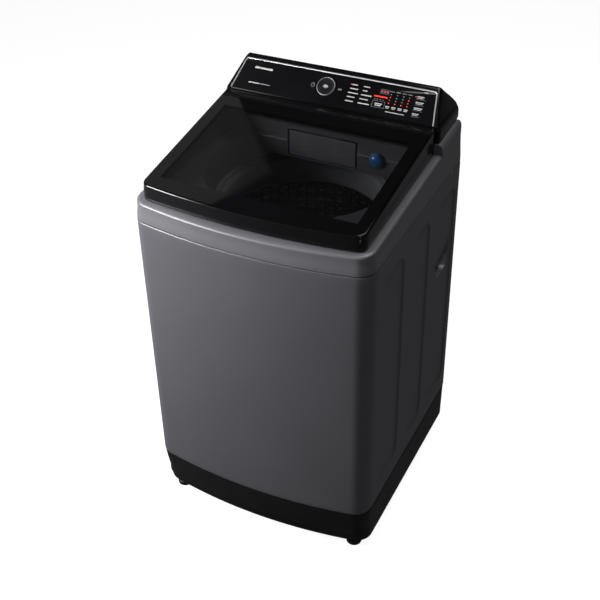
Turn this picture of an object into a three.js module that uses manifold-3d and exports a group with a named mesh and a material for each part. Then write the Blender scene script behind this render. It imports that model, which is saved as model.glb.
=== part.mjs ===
// Top load washing machine: a cabinet on levelling feet, with a sprung tub, a spinning drum and a hinged lid.
// Millimetres, +Z up. X runs across the machine and -Y is the front.
// The origin is on the floor under the middle.
import * as THREE from "three";
import { mergeVertices } from "three/addons/utils/BufferGeometryUtils.js";
import Module from "manifold-3d";

const wasm = await Module();
wasm.setup();

// ---- Driving dimensions ----
const GAP = 0.3; // between pieces that touch
const HALF_WIDTH = 270;
const FRONT = -284; // middle of the bowed front
const BOW = 29.65; // how far the front falls back at the sides
const BACK = 262.2;
const CORNER_RADIUS = 41.8;
const REAR_RADIUS = 8;

const BASE_BOTTOM = 21.8;
const BODY_BOTTOM = 127.1;
const BODY_TOP = 776.7;
const SHEET = 3; // cabinet wall
const PLASTIC = 3.5; // moulded wall

const RIM_SLOPE = 0.0717; // rise of the cover's rim towards the back
const RIM_AT_ZERO = 861.1; // height of the rim at y = 0
const LEDGE_DROP = 23; // how far the ledge round the lid lies below the rim
const STEP_Y = 136; // where the ledge steps up to the console's seat
const LID_SLOPE = 0.141;
const LID_AT_ZERO = 891.4; // height of the lid's top at y = 0

const DRUM_Y = 8; // the drum's vertical axis
const OPENING_RADIUS = 173;
const DECK = 824; // deck around the opening, under the lid
const WALL_Y = 104; // wall at the back of the opening

const LID_HALF = 249;
const LID_FRONT = -261;
const LID_REAR = 134;
const LID_BOW = 19;
const HINGE = { y: 128, z: 903, x: 215, pin: 3 };

const PANEL = { y: 136.2, z: 911, slope: THREE.MathUtils.degToRad(40.9), length: 82.6 };
const CREST = { y: 205, z: 969, half: 228 };
const CONSOLE_HALF = 257;

const TUB = { outer: 238, wall: 3, bottom: 212, top: 762 };
const DRUM = { outer: 214, wall: 2, bottom: 252, top: 690 };
const BALANCE_TOP = 756;

const ROUND = 36; // facets round the tub and drum

const FEET = { x: 229, y: 221.6, disc: 18, stud: 6 };
const ROD = { x: 201, y: 199, radius: 4, top: 757, bottom: 240 };
const LUG = { bottom: 300, top: 312 };
const SPRING = { outer: 11, inner: 6, turns: 5 };

// ---- Solids ----
const material = (color, roughness, metalness) =>
  new THREE.MeshStandardMaterial({ color, roughness, metalness });

const FINISH = {
  bodyPaint: material(0x55565a, 0.42, 0.35),
  coverPlastic: material(0x515255, 0.5, 0.1),
  basePlastic: material(0x0c0c0d, 0.6, 0),
  glossBlack: material(0x060607, 0.12, 0),
  smokedGlass: material(0x15161a, 0.05, 0),
  chrome: material(0xd8d8da, 0.15, 1),
  greyPlastic: material(0x6f7175, 0.5, 0),
  whitePlastic: material(0xd9dadb, 0.5, 0),
  blueLens: material(0x3c6f9c, 0.2, 0),
  steel: material(0xb4b6b8, 0.3, 1),
  zinc: material(0x9a9c9e, 0.45, 0.9),
  aluminium: material(0xa9abad, 0.5, 0.9),
  castIron: material(0x4a4b4c, 0.7, 0.6),
  copper: material(0x7d4a2a, 0.45, 0.7),
  rubber: material(0x141414, 0.9, 0),
  circuitGreen: material(0x1f4a33, 0.6, 0),
};

function solidOf(geometry) {
  const bare = geometry.clone();
  bare.deleteAttribute("normal");
  bare.deleteAttribute("uv");
  const merged = mergeVertices(bare, 1e-3);
  const vertProperties = new Float32Array(merged.attributes.position.array);
  const triVerts = new Uint32Array(merged.index.array);
  return new wasm.Manifold(new wasm.Mesh({ numProp: 3, vertProperties, triVerts }));
}

function geometryOf(solid) {
  const mesh = solid.getMesh();
  const geometry = new THREE.BufferGeometry();
  geometry.setAttribute("position", new THREE.BufferAttribute(mesh.vertProperties, 3));
  geometry.setIndex(new THREE.BufferAttribute(mesh.triVerts, 1));
  const faceted = geometry.toNonIndexed();
  faceted.computeVertexNormals();
  return faceted;
}

const join = (...solids) => solids.reduce((sum, solid) => sum.add(solid));
const cut = (solid, ...tools) => tools.reduce((rest, tool) => rest.subtract(tool), solid);

function addMesh(group, name, solid, finish) {
  const mesh = new THREE.Mesh(geometryOf(solid), finish);
  mesh.name = name;
  group.add(mesh);
  return mesh;
}

const shapeOf = (points) => new THREE.Shape(points.map(([u, v]) => new THREE.Vector2(u, v)));

function box(x0, x1, y0, y1, z0, z1) {
  const geometry = new THREE.BoxGeometry(x1 - x0, y1 - y0, z1 - z0);
  geometry.translate((x0 + x1) / 2, (y0 + y1) / 2, (z0 + z1) / 2);
  return solidOf(geometry);
}

function extrude(shape, depth, steps = 6) {
  return new THREE.ExtrudeGeometry(shape, { depth, bevelEnabled: false, curveSegments: steps });
}

// A shape drawn in x and y, raised from z0 to z1.
const extrudeZ = (shape, z0, z1, steps) => solidOf(extrude(shape, z1 - z0, steps).translate(0, 0, z0));

// A shape drawn in y and z, run along x.
function extrudeX(shape, x0, x1, steps) {
  const turn = new THREE.Matrix4().makeBasis(
    new THREE.Vector3(0, 1, 0),
    new THREE.Vector3(0, 0, 1),
    new THREE.Vector3(1, 0, 0),
  );
  return solidOf(extrude(shape, x1 - x0, steps).applyMatrix4(turn).translate(x0, 0, 0));
}

// A shape drawn in x and z, run along y.
function extrudeY(shape, y0, y1, steps) {
  return solidOf(extrude(shape, y1 - y0, steps).rotateX(Math.PI / 2).translate(0, y1, 0));
}

function cylinder(radius, z0, z1, x = 0, y = 0, sides = 24) {
  const geometry = new THREE.CylinderGeometry(radius, radius, z1 - z0, sides);
  return solidOf(geometry.rotateX(Math.PI / 2).translate(x, y, (z0 + z1) / 2));
}

function cylinderX(radius, x0, x1, y, z, sides = 16) {
  const geometry = new THREE.CylinderGeometry(radius, radius, x1 - x0, sides);
  return solidOf(geometry.rotateZ(Math.PI / 2).translate((x0 + x1) / 2, y, z));
}

function cylinderY(radius, y0, y1, x, z, sides = 24) {
  const geometry = new THREE.CylinderGeometry(radius, radius, y1 - y0, sides);
  return solidOf(geometry.translate(x, (y0 + y1) / 2, z));
}

// A profile of [radius, z] points turned about the vertical axis through x, y.
function turned(profile, x = 0, y = 0, sides = 40) {
  const points = profile.map(([radius, z]) => new THREE.Vector2(radius, z));
  const geometry = new THREE.LatheGeometry(points, sides);
  return solidOf(geometry.rotateX(Math.PI / 2).translate(x, y, 0));
}

// A ring with a closed section, its points given anticlockwise with the radius to the right.
const turnedRing = (section, sides) => turned([...section, section[0]], 0, DRUM_Y, sides);

function tube(points, radius, sides, steps) {
  const section = shapeOf(
    Array.from({ length: sides }, (_, i) => {
      const angle = (2 * Math.PI * i) / sides;
      return [radius * Math.cos(angle), radius * Math.sin(angle)];
    }),
  );
  const route = new THREE.CatmullRomCurve3(points.map(([x, y, z]) => new THREE.Vector3(x, y, z)));
  return solidOf(new THREE.ExtrudeGeometry(section, { extrudePath: route, steps, curveSegments: 1 }));
}

function roundedRectangle(u0, u1, v0, v1, radius) {
  const shape = new THREE.Shape();
  shape.absarc(u1 - radius, v1 - radius, radius, 0, Math.PI / 2);
  shape.absarc(u0 + radius, v1 - radius, radius, Math.PI / 2, Math.PI);
  shape.absarc(u0 + radius, v0 + radius, radius, Math.PI, 1.5 * Math.PI);
  shape.absarc(u1 - radius, v0 + radius, radius, 1.5 * Math.PI, 2 * Math.PI);
  return shape;
}

// A plan outline with a bowed front, round front corners that meet the bow smoothly, and tight rear ones.
function bowedOutline({ half, front, back, bow, corner, rear }, bowSteps = 8, cornerSteps = 3) {
  const slopeAt = (x) => (2 * bow * x) / (half * half);
  let join = half - corner;
  for (let i = 0; i < 12; i++) {
    const slope = slopeAt(join);
    join = half - corner + (corner * slope) / Math.hypot(1, slope);
  }
  const slope = slopeAt(join);
  const centreY = front + bow * (join / half) ** 2 + corner / Math.hypot(1, slope);
  const startAngle = Math.atan2(-1, slope);
  const right = [];
  for (let i = 0; i <= bowSteps / 2; i++) {
    const x = (join * i) / (bowSteps / 2);
    right.push([x, front + bow * (x / half) ** 2]);
  }
  for (let i = 1; i <= cornerSteps; i++) {
    const angle = startAngle * (1 - i / cornerSteps);
    right.push([half - corner + corner * Math.cos(angle), centreY + corner * Math.sin(angle)]);
  }
  right.push([half, back - rear], [half - rear, back]);
  const left = right.slice(1).reverse().map(([x, y]) => [-x, y]);
  return shapeOf([...right, ...left]);
}

// The cabinet's own outline, moved inwards by `inset`.
function bodyOutline(inset, back = BACK - inset) {
  return bowedOutline({
    half: HALF_WIDTH - inset,
    front: FRONT + inset,
    back,
    bow: BOW,
    corner: CORNER_RADIUS - Math.min(inset, CORNER_RADIUS - 8),
    rear: Math.max(REAR_RADIUS - inset, 2),
  });
}

const rimHeight = (y) => RIM_AT_ZERO + RIM_SLOPE * y;
const ledgeHeight = (y) => rimHeight(y) - LEDGE_DROP;
const lidHeight = (y) => LID_AT_ZERO + LID_SLOPE * y;

// The space under a plane that rises towards the back, over the whole plan.
function under(heightAt, lower = 0, floor = 700) {
  const front = FRONT - 10;
  const back = BACK + 40;
  const top = [[back, heightAt(back) - lower], [front, heightAt(front) - lower]];
  const profile = [[front, floor], [back, floor], ...top];
  return extrudeX(shapeOf(profile), -HALF_WIDTH - 10, HALF_WIDTH + 10);
}

// The space above such a plane.
function above(heightAt, higher = 0, ceiling = 1000) {
  const front = FRONT - 10;
  const back = BACK + 40;
  const foot = [[front, heightAt(front) + higher], [back, heightAt(back) + higher]];
  const profile = [...foot, [back, ceiling], [front, ceiling]];
  return extrudeX(shapeOf(profile), -HALF_WIDTH - 10, HALF_WIDTH + 10);
}

// An outline carried up through [height, inset] levels, drawn in towards its middle by each level's inset.
function layered(shape, levels) {
  const steps = levels.length - 1;
  const geometry = new THREE.ExtrudeGeometry(shape, { depth: steps, steps, bevelEnabled: false });
  const { min, max } = new THREE.Box2().setFromPoints(shape.getPoints());
  const middle = new THREE.Vector2().addVectors(min, max).multiplyScalar(0.5);
  const half = new THREE.Vector2().subVectors(max, min).multiplyScalar(0.5);
  const position = geometry.attributes.position;
  for (let i = 0; i < position.count; i++) {
    const [height, inset] = levels[Math.round(position.getZ(i))];
    const x = middle.x + (position.getX(i) - middle.x) * (1 - inset / half.x);
    const y = middle.y + (position.getY(i) - middle.y) * (1 - inset / half.y);
    position.setXYZ(i, x, y, height);
  }
  return geometry;
}

const SIDES = [["left", -1], ["right", 1]];
const CORNERS = [["front_left", -1, -1], ["front_right", 1, -1], ["rear_left", -1, 1], ["rear_right", 1, 1]];

// ---- Base, feet and cabinet ----
function baseFrame() {
  const topInset = 1;
  const sideProfile = [
    [FRONT + topInset, BODY_BOTTOM], [FRONT + 17.9, BASE_BOTTOM],
    [BACK - 4.2, BASE_BOTTOM], [BACK - topInset, BODY_BOTTOM],
  ];
  const half = HALF_WIDTH - topInset;
  const bottomHalf = HALF_WIDTH - 4.2;
  const frontProfile = [
    [half, BODY_BOTTOM], [-half, BODY_BOTTOM], [-bottomHalf, BASE_BOTTOM], [bottomHalf, BASE_BOTTOM],
  ];
  const outer = extrudeZ(bodyOutline(topInset), BASE_BOTTOM, BODY_BOTTOM - GAP)
    .intersect(extrudeX(shapeOf(sideProfile), -half, half))
    .intersect(extrudeY(shapeOf(frontProfile), FRONT, BACK));
  const inner = extrudeZ(bodyOutline(22), BASE_BOTTOM - 1, BASE_BOTTOM + 30);
  const upper = extrudeZ(bodyOutline(7), BASE_BOTTOM + 29, BODY_BOTTOM + 1);
  const pads = CORNERS.map(([, sx, sy]) => {
    const x = sx * FEET.x;
    const y = sy * FEET.y;
    return box(x - 32, x + 32, y - 32, y + 32, 44, 54).intersect(extrudeZ(bodyOutline(18), 40, 60));
  });
  const bores = CORNERS.map(([, sx, sy]) => cylinder(FEET.stud + GAP, 40, 60, sx * FEET.x, sy * FEET.y, 16));
  const wells = CORNERS.map(([, sx, sy]) => cylinder(FEET.disc + 3, 20, 44, sx * FEET.x, sy * FEET.y, 20));
  const drainPort = cylinderY(13 + GAP, 230, 270, -190, 92, 20);
  return cut(join(cut(outer, inner, upper), ...pads), ...wells, ...bores, drainPort);
}

function levellingFoot() {
  const { disc, stud } = FEET;
  const shoe = [[0, 0], [disc - 1, 0], [disc, 2], [disc, 10], [disc - 3, 14]];
  return turned([...shoe, [stud, 14], [stud, 74], [0, 74]], 0, 0, 16);
}

const EMBOSS = { bottom: 168, top: 728, depth: 1.6, radius: 28, bands: [[-189, -74], [-20, 75], [121, 238]] };
const GRIP = { y0: 124, y1: 216, bottom: 526, top: 606, depth: 18 };

// A wedge that is deepest along its lower edge, where the fingers go behind the lip.
function gripWedge(side, grow) {
  const face = side * (HALF_WIDTH + 1);
  const deep = side * (HALF_WIDTH - GRIP.depth - grow);
  const shallow = side * (HALF_WIDTH - 1 - grow);
  const { bottom, top } = GRIP;
  const profile = [
    [face, bottom - grow], [deep, bottom - grow], [deep, bottom + 14],
    [shallow, top + grow], [face, top + grow],
  ];
  const points = side > 0 ? profile.toReversed() : profile;
  return extrudeY(shapeOf(points), GRIP.y0 - grow, GRIP.y1 + grow);
}

function cabinetShell() {
  const height = [BODY_BOTTOM, BODY_TOP - GAP];
  const wrap = cut(
    extrudeZ(bodyOutline(0), ...height),
    extrudeZ(bodyOutline(SHEET), height[0] - 1, height[1] + 1),
    box(-250, 250, 250, BACK + 1, height[0] - 1, height[1] + 1),
  );
  const limits = extrudeZ(bodyOutline(0), ...height);
  const pockets = [];
  const cups = [];
  for (const [, side] of SIDES) {
    const [near, far] = [side * (HALF_WIDTH - EMBOSS.depth), side * (HALF_WIDTH + 1)].sort((a, b) => a - b);
    for (const [y0, y1] of EMBOSS.bands) {
      const shape = roundedRectangle(y0, y1, EMBOSS.bottom, EMBOSS.top, EMBOSS.radius);
      pockets.push(extrudeX(shape, near, far, 3));
    }
    cups.push(gripWedge(side, 2.5).intersect(limits));
    pockets.push(gripWedge(side, 0));
  }
  const plates = CORNERS.map(([, sx, sy]) => cornerPlate(sx, sy));
  return cut(join(wrap, ...cups, ...plates), ...pockets);
}

// A plate across a top corner of the cabinet, on which one suspension rod hangs.
function cornerPlate(sx, sy) {
  const x = sx * ROD.x;
  const y = sy * ROD.y;
  const wallX = sx * (HALF_WIDTH - 1);
  const reach = 46;
  const points = [
    [x - sx * 18, y - sy * 18], [wallX, y - sy * reach], [wallX, y + sy * 12],
    [x + sx * 12, y + sy * 80], [x - sx * reach, y + sy * 80],
  ];
  const shape = shapeOf(sx * sy > 0 ? points : points.toReversed());
  const plate = extrudeZ(shape, ROD.top - 3.5, ROD.top - 0.5).intersect(extrudeZ(bodyOutline(1), 700, 800));
  const rearLimit = box(-300, 300, -300, BACK - SHEET - GAP, 700, 800);
  return cut(plate.intersect(rearLimit), cylinder(ROD.radius + 0.7, 700, 800, x, y, 16));
}

const REAR_HATCH = { half: 130, bottom: 170, top: 520 };

function rearPanel() {
  const plate = box(-249.7, 249.7, BACK - SHEET, BACK, BODY_BOTTOM + GAP, BODY_TOP - 2 * GAP);
  const { half, bottom, top } = REAR_HATCH;
  const ribs = [590, 650, 710].map((z) => box(-180, 180, BACK - 1.2, BACK + 1, z, z + 22));
  return cut(plate, box(-half, half, BACK - 5, BACK + 1, bottom, top), ...ribs);
}

function rearAccessCover() {
  const { half, bottom, top } = REAR_HATCH;
  const y = BACK + GAP;
  const plate = box(-half - 12, half + 12, y, y + 1.5, bottom - 12, top + 12);
  const bulgeDepth = 12;
  const bulge = (grow, depth) => {
    const margin = 12 + grow;
    const shape = roundedRectangle(-half + margin, half - margin, bottom + margin, top - margin, 24);
    return extrudeY(shape, y - 1, y + depth, 3);
  };
  const louvres = [250, 290, 330, 370, 410].map((z) => box(-70, 70, y + 5, y + 20, z, z + 8));
  return cut(join(plate, bulge(0, bulgeDepth)), bulge(1.8, bulgeDepth - 1.8), ...louvres);
}

// ---- Top cover ----
const WELL = { half: 236, front: -238, back: WALL_Y, bow: LID_BOW, corner: 30, rear: 4 };
const FUNNEL = { bottom: 768, lower: OPENING_RADIUS + 18.5, upper: 208 };
const BLEACH = { x: [-222, -152], y: [-206, -172] };
const NOZZLE = { x: 131, z: 824 };
const UPSTAND_INSET = 9; // from the lid's outline to the raised edge round the well

// The lid's own outline, moved inwards by `inset`.
function lidOutline(inset, back = LID_REAR - inset) {
  const [half, front] = [LID_HALF - inset, LID_FRONT + inset];
  return bowedOutline({ half, front, back, bow: LID_BOW, corner: 24 - inset, rear: 4 });
}

// The cover's outside: sides that taper up to a rounded shoulder, `drop` below the rim.
function coverBlock(drop, shoulder) {
  const inset = 3.5;
  const spread = 0.4 - inset;
  const levels = [[600, spread], [BODY_TOP - RIM_SLOPE * FRONT, spread], [RIM_AT_ZERO - LEDGE_DROP - 10, 0]];
  const steps = 3;
  for (let i = 0; i <= steps; i++) {
    const angle = (Math.PI / 2) * (i / steps);
    levels.push([
      RIM_AT_ZERO - drop - shoulder.height * (1 - Math.sin(angle)),
      shoulder.width * (1 - Math.cos(angle)),
    ]);
  }
  const rise = new THREE.Matrix4().set(1, 0, 0, 0, 0, 1, 0, 0, 0, RIM_SLOPE, 1, 0, 0, 0, 0, 1);
  const block = layered(bodyOutline(inset, BACK + 20), levels).applyMatrix4(rise);
  return solidOf(block).intersect(box(-300, 300, -300, BACK - 0.4, BODY_TOP, 1000));
}

function topCover() {
  // A ledge for the lid's walls, and a raised part that fills the lid's inside and carries the console.
  const raised = join(
    extrudeZ(lidOutline(UPSTAND_INSET, STEP_Y + 10), 600, 1000),
    box(-300, 300, STEP_Y, 300, 600, 1000),
  );
  const tall = coverBlock(0, { height: 17, width: 9 }).intersect(raised);
  const outer = join(coverBlock(LEDGE_DROP, { height: 5, width: 7 }), tall);

  // Hollows: below the deck, in the ledge beside the well, and under the console.
  const below = extrudeZ(bodyOutline(3.5 + PLASTIC), BODY_TOP - 1, DECK - 4).intersect(under(ledgeHeight, 5));
  const wellRing = { ...WELL, half: WELL.half + PLASTIC, front: WELL.front - PLASTIC };
  const aroundWell = extrudeZ(bowedOutline(wellRing), DECK - 6, 901);
  const channel = cut(extrudeZ(bodyOutline(19), DECK - 5, 900), aroundWell)
    .intersect(box(-300, 300, -228, WALL_Y - 4, 700, 900))
    .intersect(under(ledgeHeight, 5));
  const consoleHollow = join(
    box(-246, 246, STEP_Y + 4, BACK - 4, BODY_TOP - 1, 900),
    box(-236, 236, WALL_Y + 4, STEP_Y + 5, BODY_TOP - 1, 900),
  ).intersect(under(rimHeight, 4));

  // The well that the lid closes over, and the funnel from it down to the drum.
  const well = extrudeZ(bowedOutline(WELL), DECK, 900);
  const { bottom, lower, upper } = FUNNEL;
  const outside = [[0, bottom], [lower + 3.5, bottom], [upper + 6, DECK - 1], [0, DECK - 1]];
  const mouth = [[0, bottom - 1], [lower, bottom - 1], [upper, DECK + 1], [0, DECK + 1]];
  const funnelOuter = turned(outside, 0, DRUM_Y, ROUND);
  const funnelHole = turned(mouth, 0, DRUM_Y, ROUND);
  const behindWall = box(-300, 300, WALL_Y, 300, 786, 900);
  const wall = box(-240, 240, WALL_Y, WALL_Y + 4, 782, 866);
  const drawerMouth = box(-84, 84, WALL_Y - 10, WALL_Y + 20, 791, 856);
  const nozzleSeat = cylinderY(10 + GAP, WALL_Y - 5, WALL_Y + 10, NOZZLE.x, NOZZLE.z, 16);
  const bleachHole = box(...BLEACH.x, ...BLEACH.y, DECK - 10, DECK + 1);
  const inletPorts = VALVES.map(({ x }) => cylinderY(VALVE_RADIUS + GAP, 230, 270, x, VALVE_Z, 20));
  const cordPort = cylinderY(CORD.radius + GAP, 230, 270, CORD.x, CORD.z, 16);

  const shell = cut(outer, below, channel, consoleHollow);
  const funnel = cut(funnelOuter, behindWall);
  const body = join(cut(join(shell, funnel), well), wall);
  const holes = [funnelHole.subtract(behindWall), drawerMouth, nozzleSeat, bleachHole];
  return cut(body, ...holes, ...inletPorts, cordPort);
}

function bleachCup() {
  const [x0, x1] = BLEACH.x;
  const [y0, y1] = BLEACH.y;
  const g = GAP;
  const cup = join(
    box(x0 + g, x1 - g, y0 + g, y1 - g, DECK - 22, DECK - g),
    box(x0 - 5, x1 + 5, y0 - 5, y1 + 5, DECK + g, DECK + 3),
    box(x0 + g, x1 - g, y0 + g, y1 - g, DECK - 1, DECK + 1),
  );
  const inside = box(x0 + 3, x1 - 3, y0 + 3, y1 - 3, DECK - 19, DECK + 4);
  return cut(cup, inside, cylinder(5, DECK - 30, DECK - 10, x1 - 12, y1 - 12, 12));
}

function bubbleNozzle() {
  const profile = [
    [0, 0], [10, 0], [10, 9], [17, 9], [16.4, 13], [14, 17.5], [10, 20.5], [5, 22.2], [0, 22.7],
  ];
  const points = profile.map(([radius, z]) => new THREE.Vector2(radius, z));
  const dome = new THREE.LatheGeometry(points, 24).rotateX(Math.PI);
  return solidOf(dome.translate(NOZZLE.x, WALL_Y + 9 - GAP, NOZZLE.z));
}

// ---- Detergent drawer ----
const DRAWER = { half: 80, bottom: 794, top: 852, depth: 138, tray: 836 };

function drawerHousing() {
  const outer = box(-86, 86, WALL_Y + 4 + GAP, 251, 788, 861);
  const inside = box(-82.5, 82.5, WALL_Y, 248, 791, 858);
  const outlet = box(-40, 40, 150, 170, 780, 800);
  const hosePorts = VALVES.map((_, i) => box(10 + 30 * i, 22 + 30 * i, 240, 255, 843, 855));
  return cut(outer, inside, outlet, ...hosePorts);
}

function drawerTray() {
  const { half, bottom, tray, depth } = DRAWER;
  const front = WALL_Y + 3.5;
  const block = box(-half, half, front, front + depth, bottom, tray);
  const cells = [[-half + 2.5, 8], [10.5, half - 2.5]].map(([x0, x1]) =>
    box(x0, x1, front + 2.5, front + depth - 2.5, bottom + 2.5, tray + 1),
  );
  return cut(block, ...cells);
}

function drawerFront() {
  const { half, bottom, top } = DRAWER;
  const shape = roundedRectangle(-half, half, bottom - 1, top, 3);
  const face = extrudeY(shape, WALL_Y - 0.5, WALL_Y + 3.5 - GAP, 2);
  const pull = box(-half + 14, half - 14, WALL_Y - 2, WALL_Y + 1, bottom - 2, bottom + 5);
  return cut(face, pull);
}

function softenerCap() {
  const y = WALL_Y + 60;
  const z = DRAWER.bottom + 2.5 + GAP;
  return join(box(20, 66, y - 20, y + 20, z + 24, z + 28), cylinder(7, z, z + 25, 43, y, 16));
}

// ---- Lid ----
const WINDOW = { half: 219, front: -207, back: 69, radius: 8 };
const GLASS_BACK = 108;
const RIB = { inner: 6, outer: 9 };

function lidFrame() {
  const walls = PLASTIC;
  const wedge = extrudeZ(lidOutline(0), 800, 930)
    .intersect(under(lidHeight))
    .intersect(above(ledgeHeight, 2));
  const hollow = extrudeZ(lidOutline(walls), 800, 930).intersect(under(lidHeight, 8));
  const glassSeat = extrudeZ(lidOutline(3 - GAP, GLASS_BACK + GAP), 800, 930)
    .intersect(above(lidHeight, -4 - GAP));
  const { half, front, back, radius } = WINDOW;
  const window = extrudeZ(roundedRectangle(-half, half, front, back, radius), 800, 930, 3);
  const [inside, outside] = [LID_REAR - 5, LID_REAR + 1];
  const chamfer = shapeOf([[inside, 911], [outside, 904], [outside, 920], [inside, 920]]);
  // The rear wall ends above the raised part of the cover, which the side walls pass on either side.
  const inner = LID_HALF - walls;
  const underRearWall = box(-inner, inner, LID_REAR - 8, LID_REAR + 1, 800, 930)
    .intersect(under(rimHeight, -2));
  const frame = cut(wedge, hollow, glassSeat, window, underRearWall, extrudeX(chamfer, -260, 260));
  const ribs = [];
  const clearances = [];
  for (const [, side] of SIDES) {
    const x = side * HINGE.x;
    for (const edge of [-1, 1]) {
      const [x0, x1] = [x + edge * RIB.inner, x + edge * RIB.outer].sort((a, b) => a - b);
      ribs.push(box(x0, x1, 118, LID_REAR - 2, 892, 930).intersect(under(lidHeight, 5)));
    }
    clearances.push(cylinderX(HINGE.pin + GAP, x - 12, x + 12, HINGE.y, HINGE.z));
    clearances.push(cylinderX(4.9, x - RIB.inner, x + RIB.inner, HINGE.y, HINGE.z));
    clearances.push(box(x - RIB.inner, x + RIB.inner, HINGE.y, LID_REAR + 2, 860, 930));
    clearances.push(box(x - 15.5, x + 15.5, LID_REAR - 6, LID_REAR + 2, 860, 876));
  }
  return cut(join(frame, ...ribs), ...clearances);
}

function lidGlass() {
  const pane = extrudeZ(lidOutline(3, GLASS_BACK), 800, 930);
  return pane.intersect(above(lidHeight, -4)).intersect(under(lidHeight));
}

function hingeBracket(side) {
  const x = side * HINGE.x;
  const [y0, y1] = [112, 129.5];
  const [z0, z1] = [rimHeight(y0), rimHeight(y1)];
  const foot = shapeOf([[y0, z0 + GAP], [y1, z1 + GAP], [y1, z1 + 3], [y0, z0 + 3]]);
  const stem = box(x - 3, x + 3, HINGE.y - 4, HINGE.y + 1.5, rimHeight(HINGE.y) + 1, HINGE.z);
  const ear = cylinderX(4.4, x - 3, x + 3, HINGE.y, HINGE.z);
  const hole = cylinderX(HINGE.pin + GAP, x - 5, x + 5, HINGE.y, HINGE.z);
  return cut(join(extrudeX(foot, x - 14, x + 14), stem, ear), hole);
}

const hingePin = (side) =>
  cylinderX(HINGE.pin, side * HINGE.x - RIB.outer, side * HINGE.x + RIB.outer, HINGE.y, HINGE.z);

function lidBumper(side) {
  const y = -196;
  return cylinder(3.5, rimHeight(y) + 0.6, lidHeight(y) - 8.7, side * 238, y, 12);
}

const LOCK = { x: [206, 235], y: [12, 62], top: 850, bolt: { y: 40, z: 843 } };
const STRIKER = { x: [223, 226], y: [34, 46], bottom: 836 };

function lockHousing() {
  const block = box(...LOCK.x, ...LOCK.y, DECK + GAP, LOCK.top);
  const slot = box(222, 227, 20, 48, 832, LOCK.top + 1);
  const { y, z } = LOCK.bolt;
  return cut(block, slot, box(207.5, 230, y - 2.4, y + 2.4, z - 3.4, z + 3.4));
}

const lockBolt = () => box(208, 221, LOCK.bolt.y - 2, LOCK.bolt.y + 2, LOCK.bolt.z - 3, LOCK.bolt.z + 3);

function lidStriker() {
  const [y0, y1] = STRIKER.y;
  const top = (y) => lidHeight(y) - 8 - GAP;
  const [near, far] = [y0 - 4, y1 + 4];
  const flange = shapeOf([[near, top(near) - 3], [far, top(far) - 3], [far, top(far)], [near, top(near)]]);
  const tab = box(...STRIKER.x, y0, y1, STRIKER.bottom, top(y0) - 1);
  const { y, z } = LOCK.bolt;
  return cut(join(extrudeX(flange, 222, 240), tab), box(220, 230, y - 3.5, y + 3.5, z - 4.5, z + 4.5));
}

// ---- Console ----
const VALVES = [{ name: "cold", x: 175 }, { name: "hot", x: 120 }];
const VALVE_RADIUS = 13;
const VALVE_Z = 828;
const CORD = { x: -205, z: 820, radius: 9 };
const DIAL = { x: -19.5, v: 43, radius: 21, height: 4.5 };
const TRIM = { width: 3.2, top: 230, bottom: 243, corner: 9, cornerV: 70 };
const PANEL_DEPTH = 3;

// A profile of the console from the side, moved inwards by `inset`.
function consoleProfile(inset) {
  const along = (v, w) => [
    PANEL.y + v * Math.cos(PANEL.slope) - w * Math.sin(PANEL.slope),
    PANEL.z + v * Math.sin(PANEL.slope) + w * Math.cos(PANEL.slope),
  ];
  const front = PANEL.y + 2.5 + inset;
  return shapeOf([
    [front, rimHeight(front) + GAP],
    [BACK - inset, rimHeight(BACK) + GAP],
    [BACK - inset, 915 - 0.4 * inset],
    [BACK - inset - 5, 921 - inset],
    [CREST.y + 8 + 0.3 * inset, CREST.z - 4 - inset],
    [CREST.y, CREST.z - inset],
    along(PANEL.length, -inset),
    along(0, -inset),
    [front, PANEL.z - 5 - 0.4 * inset],
  ]);
}

function consoleSideProfile(inset) {
  const right = [
    [CONSOLE_HALF, 866], [CONSOLE_HALF, 900], [252, 912], [240, 945], [235, 960], [CREST.half, CREST.z + 1],
  ].map(([x, z]) => [x - inset, z]);
  return shapeOf([...right, ...right.toReversed().map(([x, z]) => [-x, z])]);
}

// Places a solid drawn on the sloping panel: x across, y up the slope, z out of its face.
const onPanel = (solid) =>
  solid.rotate([THREE.MathUtils.radToDeg(PANEL.slope), 0, 0]).translate([0, PANEL.y, PANEL.z]);

function panelOutline(inset, foot = 0) {
  const { top, bottom, corner, cornerV } = TRIM;
  const footHalf = bottom + ((top - bottom) * foot) / cornerV - inset;
  const points = [[-footHalf, foot], [footHalf, foot]];
  for (const [side, start] of [[1, 0], [-1, Math.PI / 2]]) {
    for (let i = 0; i <= 3; i++) {
      const angle = start + (Math.PI / 6) * i;
      const reach = corner - inset;
      points.push([side * (top - corner) + reach * Math.cos(angle), cornerV + reach * Math.sin(angle)]);
    }
  }
  return shapeOf(points);
}

function consoleShell() {
  const body = extrudeX(consoleProfile(0), -CONSOLE_HALF, CONSOLE_HALF).intersect(
    extrudeY(consoleSideProfile(0), 100, 300),
  );
  const hollow = extrudeX(consoleProfile(7), -CONSOLE_HALF + 6, CONSOLE_HALF - 6)
    .intersect(extrudeY(consoleSideProfile(5), 100, 300));
  const mouth = box(-CONSOLE_HALF + 8, CONSOLE_HALF - 8, PANEL.y + 9, BACK - 7, 860, 890);
  const recess = onPanel(extrudeZ(panelOutline(0, -3), -PANEL_DEPTH, 10));
  const dialWell = onPanel(cylinder(8, -20, 1, DIAL.x, DIAL.v, 16));
  const rearPort = cylinderY(14, 240, 280, -120, 895, 16);
  return cut(body, hollow, mouth, recess, dialWell, rearPort);
}

// The pieces below are drawn on the panel itself: x across, y up the slope, z out of its face.
function consolePanel() {
  const plate = extrudeZ(panelOutline(TRIM.width + GAP, 1), GAP - PANEL_DEPTH, 0);
  return cut(plate, cylinder(DIAL.radius + 0.6, -5, 5, DIAL.x, DIAL.v, 28));
}

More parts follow.
